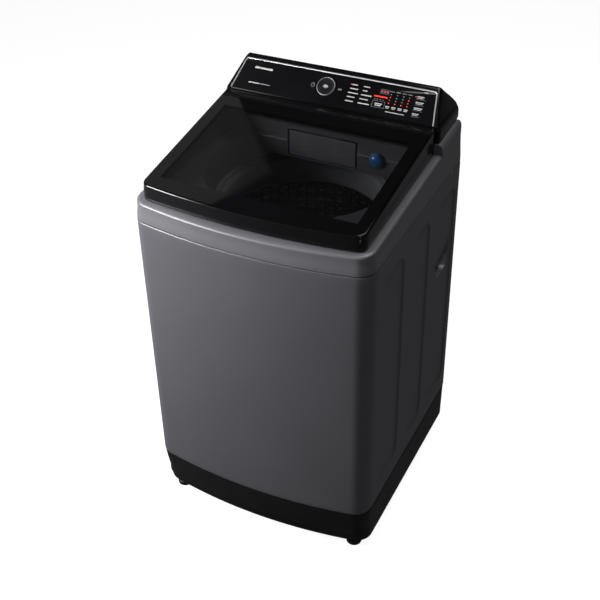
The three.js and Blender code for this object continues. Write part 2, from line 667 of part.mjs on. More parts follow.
function chromeTrim() {
  const outer = extrudeZ(panelOutline(GAP, 1), GAP - PANEL_DEPTH, 0.8);
  return cut(outer, extrudeZ(panelOutline(TRIM.width, -5), -PANEL_DEPTH - 1, 2));
}

function dialKnob() {
  const { radius, height, x, v } = DIAL;
  const r = radius - 1.2;
  const seat = GAP - PANEL_DEPTH;
  return turned([[0, -16], [6.5, -16], [6.5, seat], [r, seat], [r, height - 0.6], [0, height]], x, v, 28);
}

function dialRing() {
  const { radius, height, x, v } = DIAL;
  const inner = radius - 1.2 + 0.1;
  const top = height - 0.2;
  const section = [[inner, -2], [radius, -2], [radius, height - 1], [radius - 0.5, top], [inner, top]];
  return turned([...section, section[0]], x, v, 28);
}

const displayBoard = () => cut(box(30, 210, 10, 70, -18, -11), box(33, 207, 13, 67, -16, -10));

// ---- Water and electrics behind the console ----
function inletValve(x) {
  const barrel = cylinderY(VALVE_RADIUS, 226, -FRONT, x, VALVE_Z, 20);
  const body = box(x - 16, x + 16, 206, 230, VALVE_Z - 16, VALVE_Z + 18);
  const bore = cylinderY(8, -FRONT - 3, -FRONT + 1, x, VALVE_Z, 16);
  return cut(join(barrel, body), bore);
}

function cordGland() {
  const { x, z, radius } = CORD;
  const face = BACK + 5;
  const neck = cylinderY(radius, 245, BACK + 3, x, z, 16);
  const flange = cylinderY(radius + 4, BACK + GAP, face, x, z, 16);
  return cut(join(neck, flange), cylinderY(4, face - 3, face + 1, x, z, 12));
}

const mainBoard = () => cut(box(-240, -110, 150, 235, 788, 812), box(-237, -113, 153, 232, 791, 813));

// ---- Suspension ----
function suspensionRod() {
  const { radius, top, bottom } = ROD;
  const seat = [[0, bottom], [14, bottom], [14, bottom + 4], [radius, bottom + 7]];
  const head = [[radius, top], [9, top + 3], [9, top + 7], [5, top + 10], [0, top + 10]];
  return turned([...seat, ...head], 0, 0, 12);
}

// The spring's outer shape: a sleeve of beads, one for each turn of the coil.
function rodSpring() {
  const { outer, inner, turns } = SPRING;
  const z0 = ROD.bottom + 7 + GAP;
  const pitch = (LUG.bottom - GAP - z0) / turns;
  const bead = (_, i) => [[outer - 2, z0 + pitch * i], [outer, z0 + pitch * (i + 0.5)]];
  const beads = Array.from({ length: turns }, bead);
  const section = [[inner, z0], ...beads.flat(), [outer - 2, LUG.bottom - GAP], [inner, LUG.bottom - GAP]];
  return turned([...section, section[0]], 0, 0, 10);
}

// ---- Tub ----
const SUMP = { x: 120, y: 120 };

function outerTub() {
  const { outer, wall, bottom, top } = TUB;
  const rim = top - 24;
  const pot = turnedRing([
    [38, bottom], [outer - 12, bottom], [outer, bottom + 12], [outer, rim], [outer - wall, rim],
    [outer - wall, bottom + 14], [outer - 13, bottom + wall + 1], [38, bottom + wall + 1],
  ], ROUND);
  const lugs = CORNERS.map(([, sx, sy]) => {
    const x = sx * ROD.x;
    const y = sy * ROD.y;
    const plate = box(-18, 80, -17, 17, LUG.bottom, LUG.top);
    const angle = THREE.MathUtils.radToDeg(Math.atan2(y - DRUM_Y, x));
    const arm = plate.rotate([0, 0, angle + 180]).translate([x, y, 0]);
    return cut(arm, cylinder(TUB.outer - 1, LUG.bottom - 1, LUG.top + 1, 0, DRUM_Y, ROUND));
  });
  const rodHoles = CORNERS.map(([, sx, sy]) =>
    cylinder(ROD.radius + 1.5, 200, 400, sx * ROD.x, sy * ROD.y, 16));
  const spout = cylinder(20, bottom - 14, bottom + 2, SUMP.x, SUMP.y, 20);
  const drain = cylinder(15, bottom - 20, bottom + 10, SUMP.x, SUMP.y, 20);
  const rib = [0, 60, 120, 180, 240, 300].map((angle) =>
    box(60, 220, -2, 2, bottom - 8, bottom + 1).rotate([0, 0, angle + 15]).translate([0, DRUM_Y, 0]),
  );
  return cut(join(pot, ...lugs, spout, ...rib), ...rodHoles, drain);
}

function tubRing() {
  const { outer, wall, top } = TUB;
  const seam = top - 24 + GAP;
  const lip = OPENING_RADIUS + 11;
  return turnedRing([
    [outer - wall, seam], [outer, seam], [outer, top - 3], [outer - 3, top], [lip + 3, top],
    [lip, top - 2], [lip, top - 5], [lip + 3, top - 4], [outer - wall, top - 4],
  ], ROUND);
}

function drumBasket() {
  const { outer, wall, bottom, top } = DRUM;
  return turnedRing([
    [60, bottom], [outer - 22, bottom], [outer, bottom + 22], [outer, top], [outer - wall, top],
    [outer - wall, bottom + 23], [outer - 23, bottom + wall], [60, bottom + wall],
  ], ROUND);
}

function balanceRing() {
  const bottom = DRUM.top + GAP;
  return turnedRing([
    [OPENING_RADIUS + 2, bottom], [DRUM.outer, bottom],
    [DRUM.outer + 3, bottom + 8], [DRUM.outer + 3, BALANCE_TOP - 10],
    [DRUM.outer - 5, BALANCE_TOP - 2], [OPENING_RADIUS + 12, BALANCE_TOP],
    [OPENING_RADIUS + 3, BALANCE_TOP - 4],
    [OPENING_RADIUS, BALANCE_TOP - 14], [OPENING_RADIUS, bottom + 10],
  ], ROUND);
}

function drumHub() {
  const top = DRUM.bottom - GAP;
  const disc = cylinder(70, top - 8, top, 0, DRUM_Y, 24);
  const arms = [90, 210, 330].map((angle) =>
    box(0, 185, -16, 16, top - 8, top).rotate([0, 0, angle]).translate([0, DRUM_Y, 0]),
  );
  const boss = cylinder(26, top - 24, top, 0, DRUM_Y, 24);
  const hollowShaft = cylinder(14, 152, top, 0, DRUM_Y, 20);
  return cut(join(disc, ...arms, boss, hollowShaft), cylinder(8 + GAP, 140, 260, 0, DRUM_Y, 20));
}

function lintFilter(side) {
  const inner = DRUM.outer - DRUM.wall;
  const x = side * (inner - 12);
  const frame = box(x - 9, x + 9, DRUM_Y - 32, DRUM_Y + 32, 520, 640);
  const window = box(x - 20, x + 20, DRUM_Y - 24, DRUM_Y + 24, 532, 628);
  const inDrum = cylinder(inner - 1, 500, 660, 0, DRUM_Y, ROUND);
  const outletSlot = window.intersect(box(-210, 210, -100, 100, 500, 545));
  return cut(frame.intersect(inDrum), outletSlot);
}

// ---- Pulsator and drive ----
function pulsator() {
  const bottom = DRUM.bottom + DRUM.wall + 3;
  const rim = [[0, 0], [168, 0], [176, 10], [170, 14]];
  const dome = [[120, 12], [50, 26], [26, 40], [0, 42]];
  const dish = turned([...rim, ...dome].map(([radius, z]) => [radius, bottom + z]), 0, DRUM_Y, 30);
  const fins = Array.from({ length: 6 }, (_, i) => {
    const profile = [[24, 8], [164, 8], [160, 26], [60, 40], [24, 41]].map(([x, z]) => [x, bottom + z]);
    return extrudeY(shapeOf(profile), -5, 5).rotate([0, 0, 60 * i + 20]).translate([0, DRUM_Y, 0]);
  });
  return cut(join(dish, ...fins), cylinder(8.3, 200, bottom + 24, 0, DRUM_Y, 16));
}

const driveShaft = () => cylinder(8, 128, DRUM.bottom + DRUM.wall + 24, 0, DRUM_Y, 16);

function bearingHousing() {
  const flange = turnedRing([[15, 196], [100, 196], [100, TUB.bottom - 8.5], [15, TUB.bottom - 8.5]], 24);
  const neck = turnedRing([[15, 168], [34, 168], [34, 197], [15, 197]], 24);
  return join(flange, neck);
}

function stator() {
  const core = turnedRing([[35, 158], [96, 158], [96, 176], [35, 176]], 24);
  const slots = Array.from({ length: 12 }, (_, i) =>
    box(62, 100, -3.2, 3.2, 150, 180).rotate([0, 0, 30 * i]).translate([0, DRUM_Y, 0]),
  );
  return cut(core, ...slots);
}

function rotor() {
  const cup = turnedRing([
    [20, 138], [102, 138], [104, 140], [104, 178], [98.5, 178], [98.5, 143], [20, 143],
  ], 28);
  const hub = turnedRing([[8.3, 134], [24, 134], [24, 148], [8.3, 148]], 16);
  return join(cup, hub);
}

// ---- Drain ----
const PUMP = { top: 118, bottom: 62 };

function drainPump() {
  const { x, y } = SUMP;
  const body = cylinder(34, PUMP.bottom, 104, x, y, 24);
  const inlet = cylinder(20, 100, PUMP.top, x, y, 20);
  const motor = cylinderY(24, y - 92, y, x, 84, 20);
  const feet = box(x - 40, x + 40, y - 60, y + 36, PUMP.bottom - 6, PUMP.bottom + 4);
  return cut(join(body, inlet, motor, feet), cylinder(15, 80, 130, x, y, 20));
}

function drainBellows() {
  const { x, y } = SUMP;
  const z0 = PUMP.top + GAP;
  const z1 = TUB.bottom - 14 - GAP;
  const folds = 4;
  const pitch = (z1 - z0) / folds;
  const outside = [];
  const inside = [];
  for (let i = 0; i < folds; i++) {
    const z = z0 + pitch * i;
    outside.push([19, z], [24, z + pitch / 2]);
    inside.push([16, z], [21, z + pitch / 2]);
  }
  outside.push([19, z1]);
  inside.push([16, z1]);
  const section = [...outside, ...inside.toReversed()];
  return turned([...section, section[0]], x, y, 12);
}

function drainHose() {
  return tube([[80, 150, 92], [40, 200, 92], [-40, 236, 92], [-140, 236, 92]], 11, 8, 10);
}

function drainOutlet() {
  const barrel = cylinderY(13, 222, -FRONT, -190, 92, 20);
  const flange = cylinderY(20, BACK - 0.5, BACK + 5, -190, 92, 16);
  return cut(join(barrel, flange), cylinderY(9, 215, 290, -190, 92, 16));
}

// ---- Assembly ----
const machine = new THREE.Group();
machine.name = "top_load_washing_machine";
const cabinet = new THREE.Group();
const controls = new THREE.Group();
controls.position.set(0, PANEL.y, PANEL.z);
controls.rotation.x = PANEL.slope;
cabinet.add(controls);
const lid = new THREE.Group();
const tub = new THREE.Group();
const drum = new THREE.Group();
const drive = new THREE.Group();
tub.add(drum);
drum.add(drive);
machine.add(cabinet, lid, tub);

addMesh(cabinet, "base_frame", baseFrame(), FINISH.basePlastic);
addMesh(cabinet, "cabinet_shell", cabinetShell(), FINISH.bodyPaint);
addMesh(cabinet, "rear_panel", rearPanel(), FINISH.zinc);
addMesh(cabinet, "rear_access_cover", rearAccessCover(), FINISH.zinc);
addMesh(cabinet, "top_cover", topCover(), FINISH.coverPlastic);
addMesh(cabinet, "bleach_cup", bleachCup(), FINISH.greyPlastic);
addMesh(cabinet, "bubble_nozzle", bubbleNozzle(), FINISH.blueLens);
addMesh(cabinet, "console_shell", consoleShell(), FINISH.glossBlack);
addMesh(controls, "console_panel", consolePanel(), FINISH.glossBlack);
addMesh(controls, "chrome_trim", chromeTrim(), FINISH.chrome);
addMesh(controls, "display_board", displayBoard(), FINISH.circuitGreen);
addMesh(controls, "dial_knob", dialKnob(), FINISH.glossBlack);
addMesh(controls, "dial_ring", dialRing(), FINISH.chrome);
for (const { name, x } of VALVES) addMesh(cabinet, `inlet_valve_${name}`, inletValve(x), FINISH.whitePlastic);
addMesh(cabinet, "cord_gland", cordGland(), FINISH.rubber);
addMesh(cabinet, "main_board_tray", mainBoard(), FINISH.circuitGreen);
addMesh(cabinet, "drawer_housing", drawerHousing(), FINISH.greyPlastic);
addMesh(cabinet, "drawer_tray", drawerTray(), FINISH.greyPlastic);
addMesh(cabinet, "drawer_front", drawerFront(), FINISH.coverPlastic);
addMesh(cabinet, "softener_cap", softenerCap(), FINISH.blueLens);
addMesh(cabinet, "lock_housing", lockHousing(), FINISH.basePlastic);
addMesh(cabinet, "lock_bolt", lockBolt(), FINISH.zinc);
addMesh(cabinet, "drain_pump", drainPump(), FINISH.basePlastic);
addMesh(cabinet, "drain_hose", drainHose(), FINISH.rubber);
addMesh(cabinet, "drain_outlet", drainOutlet(), FINISH.basePlastic);

addMesh(lid, "lid_frame", lidFrame(), FINISH.glossBlack);
addMesh(lid, "lid_glass", lidGlass(), FINISH.smokedGlass);
addMesh(lid, "lid_striker", lidStriker(), FINISH.zinc);
for (const [name, side] of SIDES) {
  addMesh(cabinet, `hinge_bracket_${name}`, hingeBracket(side), FINISH.zinc);
  addMesh(lid, `hinge_pin_${name}`, hingePin(side), FINISH.steel);
  addMesh(lid, `lid_bumper_${name}`, lidBumper(side), FINISH.rubber);
}

for (const [name, sx, sy] of CORNERS) {
  const foot = addMesh(cabinet, `foot_${name}`, levellingFoot(), FINISH.basePlastic);
  foot.position.set(sx * FEET.x, sy * FEET.y, 0);
  const rod = addMesh(cabinet, `suspension_rod_${name}`, suspensionRod(), FINISH.steel);
  rod.position.set(sx * ROD.x, sy * ROD.y, 0);
  const spring = addMesh(tub, `rod_spring_${name}`, rodSpring(), FINISH.steel);
  spring.position.set(sx * ROD.x, sy * ROD.y, 0);
}

addMesh(tub, "outer_tub", outerTub(), FINISH.whitePlastic);
addMesh(tub, "tub_ring", tubRing(), FINISH.greyPlastic);
addMesh(tub, "bearing_housing", bearingHousing(), FINISH.aluminium);
addMesh(tub, "stator", stator(), FINISH.copper);
addMesh(tub, "drain_bellows", drainBellows(), FINISH.rubber);

addMesh(drum, "drum_basket", drumBasket(), FINISH.steel);
addMesh(drum, "balance_ring", balanceRing(), FINISH.greyPlastic);
addMesh(drum, "drum_hub", drumHub(), FINISH.aluminium);
for (const [name, side] of SIDES) addMesh(drum, `lint_filter_${name}`, lintFilter(side), FINISH.whitePlastic);

addMesh(drive, "pulsator", pulsator(), FINISH.greyPlastic);
addMesh(drive, "drive_shaft", driveShaft(), FINISH.steel);
addMesh(drive, "rotor", rotor(), FINISH.castIron);

export default machine;
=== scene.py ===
"""Looks for the top load washing machine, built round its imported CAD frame.

Sizes are in millimetres in the CAD frame: x across, -y is the front, z up. `MM` turns them into metres.
"""

import math

import bmesh
import bpy
from mathutils import Matrix, Vector


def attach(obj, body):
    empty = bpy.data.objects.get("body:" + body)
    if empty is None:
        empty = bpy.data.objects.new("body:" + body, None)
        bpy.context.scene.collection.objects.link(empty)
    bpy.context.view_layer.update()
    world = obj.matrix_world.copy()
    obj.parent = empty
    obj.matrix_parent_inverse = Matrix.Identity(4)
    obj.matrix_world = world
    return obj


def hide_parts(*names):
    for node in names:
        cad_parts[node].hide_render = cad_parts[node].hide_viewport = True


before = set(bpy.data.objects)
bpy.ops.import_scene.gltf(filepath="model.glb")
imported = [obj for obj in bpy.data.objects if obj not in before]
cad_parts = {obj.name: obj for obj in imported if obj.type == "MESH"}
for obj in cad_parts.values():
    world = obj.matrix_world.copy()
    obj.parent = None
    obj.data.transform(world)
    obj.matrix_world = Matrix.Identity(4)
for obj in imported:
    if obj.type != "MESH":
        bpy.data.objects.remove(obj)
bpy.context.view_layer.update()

MM = 0.001

# ---- Driving dimensions, as in the CAD ----
HALF_WIDTH = 270
FRONT = -284
BOW = 29.65
BACK = 262.2
CORNER = 41.8
BASE_BOTTOM = 21.8
BODY_BOTTOM = 127.1
BODY_TOP = 776.7
RIM_AT_ZERO = 861.1
RIM_SLOPE = 0.0717
LEDGE_DROP = 23
STEP_Y = 136
LID_AT_ZERO = 891.4
LID_SLOPE = 0.141
DRUM_Y = 8
OPENING = 173
DECK = 824
WALL_Y = 104
LID = {"half": 249, "front": -261, "back": 134, "bow": 19, "corner": 24, "rear": 4}
UPSTAND_INSET = 9
WINDOW = {"half": 219, "front": -207, "back": 69, "radius": 8}
GLASS_BACK = 108
HINGE = {"x": 215, "y": 128, "z": 903}
PANEL_Y, PANEL_Z = 136.2, 911
PANEL_SLOPE = math.radians(40.9)
CREST_Y, CREST_Z = 205, 969
PANEL_LENGTH = 82.6
DIAL_X, DIAL_V, DIAL_HOLE = -19.5, 43, 21.6
TRIM_TOP, TRIM_BOTTOM, TRIM_CORNER, TRIM_CORNER_V = 230, 243, 9, 70
WELL = {"half": 236, "front": -238, "back": WALL_Y, "bow": 19, "corner": 30, "rear": 4}
FUNNEL_BOTTOM, FUNNEL_LOWER, FUNNEL_UPPER = 768, 191.5, 208
DRAWER_HALF, DRAWER_BOTTOM, DRAWER_TOP = 80, 794, 852
NOZZLE_X, NOZZLE_Z = 131, 824
DRUM_OUTER, DRUM_WALL, DRUM_BOTTOM, DRUM_TOP = 214, 2, 252, 690
BALANCE_TOP = 756
FEET = {"x": 229, "y": 221.6}
CORNERS = (("front_left", -1, -1), ("front_right", 1, -1), ("rear_left", -1, 1), ("rear_right", 1, 1))

# Side walls: the gap under the cover, the embossed bands and the hand grip.
SEAM = 1.1
EMBOSS_BANDS = ((-189, -74), (-20, 75), (121, 238))
EMBOSS_LOW, EMBOSS_HIGH, EMBOSS_RADIUS = 168, 728, 28
EMBOSS_DEPTH = 3.4
EMBOSS_EDGE = 4.5
GRIP_LEFT, GRIP_RIGHT, GRIP_BOTTOM, GRIP_TOP = 121, 219, 523, 604
GRIP_DEPTH = 15
SHEET = 1.4
LID_WALL = 3.5
PRINT_DEPTH, PRINT_HEIGHT = -0.05, 0.09

# Pattern of the drum.
DRUM_CELLS = 60
CELL_HEIGHT = 22
HOLE_PITCH = 5.5
EMBOSS_TOP = 664

# Rows and columns printed on the panel.
COURSE_ROWS = (60, 50.5, 40.5, 31, 21)
LED_COLUMNS = (130.5, 144.5, 158.7, 172.3)
LED_ROWS = (53.3, 46.4, 39.5, 32.7)

# Camera, in metres.
CAMERA_AT = Vector((0.9097, -1.8349, 1.9664))
CAMERA_AZIMUTH = math.radians(26.627)
CAMERA_ELEVATION = math.radians(35.956)
CAMERA_ROLL = math.radians(-1.244)
CAMERA_LENS = 65.62

# Studio: strengths of the floor and of the world around it.
FLOOR_GLOW = 0.93
GLOW_LEFT, WORLD_BELOW, WORLD_ABOVE = 0.3, 0.1, 0.012
# Each light's name, place, aim, size (metres) and power (watts).
LIGHTS = (
    ("key_left", (-1.05, -0.95, 1.35), (-0.25, -0.25, 0.75), (0.5, 0.7), 62),
    ("overhead", (0.5, 0.6, 3.4), (0, 0, 0.8), (1.6, 1.4), 52),
    ("right_strip", (1.6, -1.5, 0.9), (0.2, -0.2, 0.5), (0.25, 1.5), 4),
    ("front_card", (-1.1, -3.1, 1.25), (0, 0, 0.9), (2.6, 0.9), 3),
    ("lid_card", (-2.4, 1.6, 2.6), (0, 0, 0.9), (1.8, 1.8), 4),
    ("panel_card", (-1.9, -0.6, 2.9), (0, 0, 0.9), (1.2, 1.2), 1),
)


def rim_height(y):
    return RIM_AT_ZERO + RIM_SLOPE * y


def ledge_height(y):
    return rim_height(y) - LEDGE_DROP


def lid_height(y):
    return LID_AT_ZERO + LID_SLOPE * y


def smooth(t):
    t = min(max(t, 0), 1)
    return t * t * (3 - 2 * t)


def mix(a, b, t):
    return a + (b - a) * t


# ---- Materials ----
def set_inputs(tree, node, inputs):
    """Links an input to another node's output, or sets it to a value."""
    for socket, value in inputs.items():
        if isinstance(value, bpy.types.NodeSocket):
            tree.links.new(value, node.inputs[socket])
        else:
            node.inputs[socket].default_value = value


def node_of(tree, kind, inputs=None, **settings):
    node = tree.nodes.new(kind)
    for name, value in settings.items():
        setattr(node, name, value)
    set_inputs(tree, node, inputs or {})
    return node


def calculate(tree, operation, *values):
    """The result of a math node on values or outputs."""
    return node_of(tree, "ShaderNodeMath", dict(enumerate(values)), operation=operation).outputs["Value"]


def spread_over(tree, value, from_min, from_max):
    """0 at from_min, 1 at from_max."""
    inputs = {"Value": value, "From Min": from_min, "From Max": from_max}
    return node_of(tree, "ShaderNodeMapRange", inputs).outputs["Result"]


def look(
    name, color, roughness, metallic=0.0, tone=0.12, tone_size=40, grain=0.0, grain_size=1.2,
    rough_change=0.06, stretch=(1, 1, 1), coat=0.0, specular=0.5,
):
    """A material whose colour and roughness drift slowly and whose surface has a fine grain.

    tone_size and grain_size are in millimetres."""
    material = bpy.data.materials.new(name)
    material.use_nodes = True
    tree = material.node_tree
    shader = tree.nodes["Principled BSDF"]
    place = node_of(tree, "ShaderNodeTexCoord").outputs["Object"]
    place = node_of(tree, "ShaderNodeMapping", {"Vector": place, "Scale": stretch}).outputs["Vector"]
    coarse = {"Vector": place, "Scale": 1 / (tone_size * MM), "Detail": 4}
    drift = node_of(tree, "ShaderNodeTexNoise", coarse).outputs["Fac"]
    ramp = node_of(tree, "ShaderNodeValToRGB", {"Fac": drift})
    for i, (position, share) in enumerate(((0.3, 1 - tone), (0.7, 1 + tone))):
        ramp.color_ramp.elements[i].position = position
        ramp.color_ramp.elements[i].color = [min(c * share, 1) for c in color] + [1]
    smoothest, roughest = max(roughness - rough_change, 0.02), min(roughness + rough_change, 1)
    rough = node_of(tree, "ShaderNodeMapRange", {"Value": drift, "To Min": smoothest, "To Max": roughest})
    set_inputs(tree, shader, {
        "Base Color": ramp.outputs["Color"], "Roughness": rough.outputs["Result"], "Metallic": metallic,
        "Specular IOR Level": specular, "Coat Weight": coat, "Coat Roughness": 0.08})
    if grain:
        fine = {"Vector": place, "Scale": 1 / (grain_size * MM), "Detail": 3}
        height = node_of(tree, "ShaderNodeTexNoise", fine).outputs["Fac"]
        bump = node_of(tree, "ShaderNodeBump", {"Height": height, "Strength": grain, "Distance": 0.2 * MM})
        set_inputs(tree, shader, {"Normal": bump.outputs["Normal"]})
    return material


# Colour with emission: a real lamp for the red lights, and a painted glow for the white print, which is no
# lamp.
def lamp_and_painted_glow_look(name, color, strength):
    material = look(name, color, 0.4, tone=0.05)
    shader = material.node_tree.nodes["Principled BSDF"]
    set_inputs(material.node_tree, shader, {"Emission Color": (*color, 1), "Emission Strength": strength})
    return material


def band(tree, value, low, high, soft):
    """1 where value lies between low and high, falling to 0 over `soft`."""
    above = spread_over(tree, value, low - soft, low)
    return calculate(tree, "MULTIPLY", above, spread_over(tree, value, high + soft, high))


def smoked_glass_look():
    """Smoked glass with an opaque black print round its window."""
    material = look("smoked_glass", (0.0022, 0.0022, 0.0025), 0.035, tone=0.15, tone_size=120,
                    rough_change=0.015, specular=0.2)
    tree = material.node_tree
    place = node_of(tree, "ShaderNodeTexCoord").outputs["Object"]
    split = node_of(tree, "ShaderNodeSeparateXYZ", {"Vector": place}).outputs
    edge = 1.2 * MM
    across = band(tree, split["X"], -WINDOW["half"] * MM, WINDOW["half"] * MM, edge)
    along = band(tree, split["Y"], WINDOW["front"] * MM, WINDOW["back"] * MM, edge)
    window = calculate(tree, "MULTIPLY", across, along)
    alpha = node_of(tree, "ShaderNodeMapRange", {"Value": window, "To Min": 1, "To Max": 0.42})
    set_inputs(tree, tree.nodes["Principled BSDF"], {"Alpha": alpha.outputs["Result"]})
    return material


def drum_steel_look():
    """Bright embossed sheet with rows of drain holes between its cells."""
    material = look("drum_steel", (0.5, 0.51, 0.53), 0.2, metallic=1, tone=0.1, tone_size=30, grain=0.25,
                    grain_size=0.8, stretch=(1, 1, 8))
    tree = material.node_tree
    shader = tree.nodes["Principled BSDF"]
    colour = shader.inputs["Base Color"].links[0].from_socket
    place = node_of(tree, "ShaderNodeTexCoord").outputs["Object"]
    centre = {0: place, 1: (0, DRUM_Y * MM, 0)}
    centred = node_of(tree, "ShaderNodeVectorMath", centre, operation="SUBTRACT").outputs["Vector"]
    split = node_of(tree, "ShaderNodeSeparateXYZ", {"Vector": centred}).outputs
    angle = calculate(tree, "ARCTAN2", split["Y"], split["X"])

    def from_nearest(value, pitch):
        """Distance of value from the nearest multiple of pitch."""
        part = calculate(tree, "FRACT", calculate(tree, "MULTIPLY_ADD", value, 1 / pitch, 0.5))
        return calculate(tree, "MULTIPLY_ADD", part, pitch, -pitch / 2)

    sideways = calculate(tree, "MULTIPLY", from_nearest(angle, 2 * math.pi / DRUM_CELLS), DRUM_OUTER * MM)
    offset = {"X": sideways, "Y": from_nearest(split["Z"], HOLE_PITCH * MM)}
    offset = node_of(tree, "ShaderNodeCombineXYZ", offset).outputs["Vector"]
    away = node_of(tree, "ShaderNodeVectorMath", {0: offset}, operation="LENGTH").outputs["Value"]
    sheet = spread_over(tree, away, 1.3 * MM, 1.7 * MM)
    plain_top = spread_over(tree, split["Z"], (EMBOSS_TOP - 1) * MM, EMBOSS_TOP * MM)
    steel_share = calculate(tree, "MAXIMUM", sheet, plain_top)
    blend = {"Factor": steel_share, "A": (0.01, 0.01, 0.01, 1), "B": colour}
    tint = node_of(tree, "ShaderNodeMix", blend, data_type="RGBA")
    set_inputs(tree, shader, {"Base Color": tint.outputs["Result"]})
    return material


LOOKS = {
    "body_paint": look("body_paint", (0.088, 0.087, 0.097), 0.42, 0.3, tone=0.035, tone_size=160, grain=0.06,
                       grain_size=1.6, rough_change=0.03),
    "cover_plastic": look("cover_plastic", (0.088, 0.087, 0.096), 0.42, tone=0.04, tone_size=120, grain=0.08,
                          grain_size=0.9),
    "base_plastic": look("base_plastic", (0.0045, 0.0045, 0.005), 0.45, tone=0.18, grain=0.2, grain_size=0.9,
                         specular=0.2),
    "gloss_black": look("gloss_black", (0.003, 0.003, 0.0034), 0.12, tone=0.2, tone_size=90,
                        rough_change=0.02, specular=0.2),
    "lid_black": look("lid_black", (0.003, 0.003, 0.0034), 0.16, tone=0.2, tone_size=90, rough_change=0.02,
                      specular=0.3),
    "smoked_glass": smoked_glass_look(),
    "chrome": look("chrome", (0.3, 0.3, 0.31), 0.42, 0.6, tone=0.04, rough_change=0.04),
    "dial_black": look("dial_black", (0.006, 0.006, 0.007), 0.22, tone=0.2, grain=0.1, grain_size=0.5),
    "grey_plastic": look("grey_plastic", (0.2, 0.205, 0.215), 0.38, tone=0.05, tone_size=70, grain=0.08),
    "deck_plastic": look("deck_plastic", (0.13, 0.13, 0.138), 0.33, tone=0.06, tone_size=70, grain=0.1),
    "tub_plastic": look("tub_plastic", (0.55, 0.56, 0.57), 0.5, tone=0.05, grain=0.15, grain_size=2),
    "white_plastic": look("white_plastic", (0.68, 0.68, 0.66), 0.4, tone=0.05, grain=0.1),
    "blue_plastic": look("blue_plastic", (0.045, 0.17, 0.42), 0.16, tone=0.25, tone_size=14, coat=0.5),
    "drum_steel": drum_steel_look(),
    "steel": look("steel", (0.55, 0.56, 0.57), 0.28, 1, tone=0.08, grain=0.15, stretch=(1, 1, 6)),
    "zinc": look("zinc", (0.42, 0.43, 0.44), 0.42, 0.9, tone=0.22, tone_size=9, grain=0.12, grain_size=3),
    "aluminium": look("aluminium", (0.5, 0.5, 0.51), 0.5, 0.9, tone=0.1, grain=0.35, grain_size=1),
    "copper": look("copper", (0.38, 0.15, 0.06), 0.4, 0.8, tone=0.25, tone_size=6, grain=0.3, grain_size=1.5),
    "iron": look("iron", (0.08, 0.08, 0.085), 0.5, 0.6, tone=0.2, grain=0.3),
    "rubber": look("rubber", (0.014, 0.014, 0.014), 0.75, tone=0.2, grain=0.25, grain_size=0.7),
    "circuit": look("circuit", (0.02, 0.09, 0.05), 0.45, tone=0.4, tone_size=5, grain=0.2),
    # The white print glows a little: painted glow, as the print is no lamp.
    "legend_white": lamp_and_painted_glow_look("legend_white", (0.42, 0.42, 0.42), 0.16),
    "legend_dim": look("legend_dim", (0.2, 0.2, 0.21), 0.5, tone=0.1),
    "led_red": lamp_and_painted_glow_look("led_red", (0.8, 0.03, 0.02), 0.75),
    "display": look("display", (0.03, 0.036, 0.038), 0.25, tone=0.1),
}


# ---- Mesh building ----
class Builder:
    """Points in millimetres and faces, turned into one piece at the end."""

    def __init__(self):
        self.points = []
        self.faces = []

    def ring(self, points):
        start = len(self.points)
        self.points.extend(points)
        return list(range(start, len(self.points)))

    def bridge(self, low, high, closed=True):
        count = len(low)
        for i in range(count if closed else count - 1):
            j = (i + 1) % count
            self.faces.append((low[i], low[j], high[j], high[i]))

    def loft(self, rings, closed=True, loop=False):
        """Joins rings one after another; with loop, the last also joins the first."""
        made = [self.ring(points) for points in rings]
        for low, high in zip(made, made[1:]):
            self.bridge(low, high, closed)
        if loop:
            self.bridge(made[-1], made[0], closed)
        return made

    def cap(self, ring):
        self.faces.append(tuple(ring))

    def solid(self, rings):
        """A closed body from rings, with its two ends filled."""
        made = self.loft(rings)
        self.cap(made[0])
        self.cap(made[-1])
        return self

    def slab(self, outer, inner):
        """A closed plate between two grids of the same size."""
        grids = [[self.ring(row) for row in grid] for grid in (outer, inner)]
        for grid in grids:
            for low, high in zip(grid, grid[1:]):
                self.bridge(low, high, closed=False)
        front, back = grids
        self.bridge(front[0], back[0], closed=False)
        self.bridge(front[-1], back[-1], closed=False)
        for side in (0, -1):
            self.bridge([row[side] for row in front], [row[side] for row in back], closed=False)
        return self

    def block(self, x0, x1, y0, y1, z0, z1, round_by=1.0):
        """A box whose upright edges and rims are rounded."""
        r = min(round_by, (x1 - x0) / 2.2, (y1 - y0) / 2.2, (z1 - z0) / 2.2)
        rings = []
        low = ((z0, r), (z0 + 0.3 * r, 0.3 * r), (z0 + r, 0))
        high = ((z1 - r, 0), (z1 - 0.3 * r, 0.3 * r), (z1, r))
        for z, inset in low + high:
            rings.append([(x, y, z) for x, y in rounded_rectangle(
                x0 + inset, x1 - inset, y0 + inset, y1 - inset, max(r - inset, 0.05) + 0.1 * r, 3)])
        return self.solid(rings)

    def piece(self, name, finish, body, slot, replaces=(), place=None, sharp=40):
        mesh = bpy.data.meshes.new(name)
        place = place or Matrix.Identity(4)
        mesh.from_pydata([(place @ Vector(p)) * MM for p in self.points], [], self.faces)
        made = bmesh.new()
        made.from_mesh(mesh)
        bmesh.ops.remove_doubles(made, verts=made.verts, dist=1e-6)
        bmesh.ops.dissolve_degenerate(made, edges=made.edges, dist=1e-6)
        bmesh.ops.recalc_face_normals(made, faces=made.faces)
        made.to_mesh(mesh)
        made.free()
        piece = bpy.data.objects.new(name, mesh)
        bpy.context.scene.collection.objects.link(piece)
        shade(piece, sharp)
        finish_piece(piece, finish, body, replaces)
        return piece


def shade(piece, sharp):
    piece.data.shade_smooth()
    piece.data.set_sharp_from_angle(angle=math.radians(sharp))


def finish_piece(piece, finish, body, replaces=()):
    piece.data.materials.clear()
    piece.data.materials.append(LOOKS[finish])
    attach(piece, body)
    if replaces:
        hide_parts(*replaces)


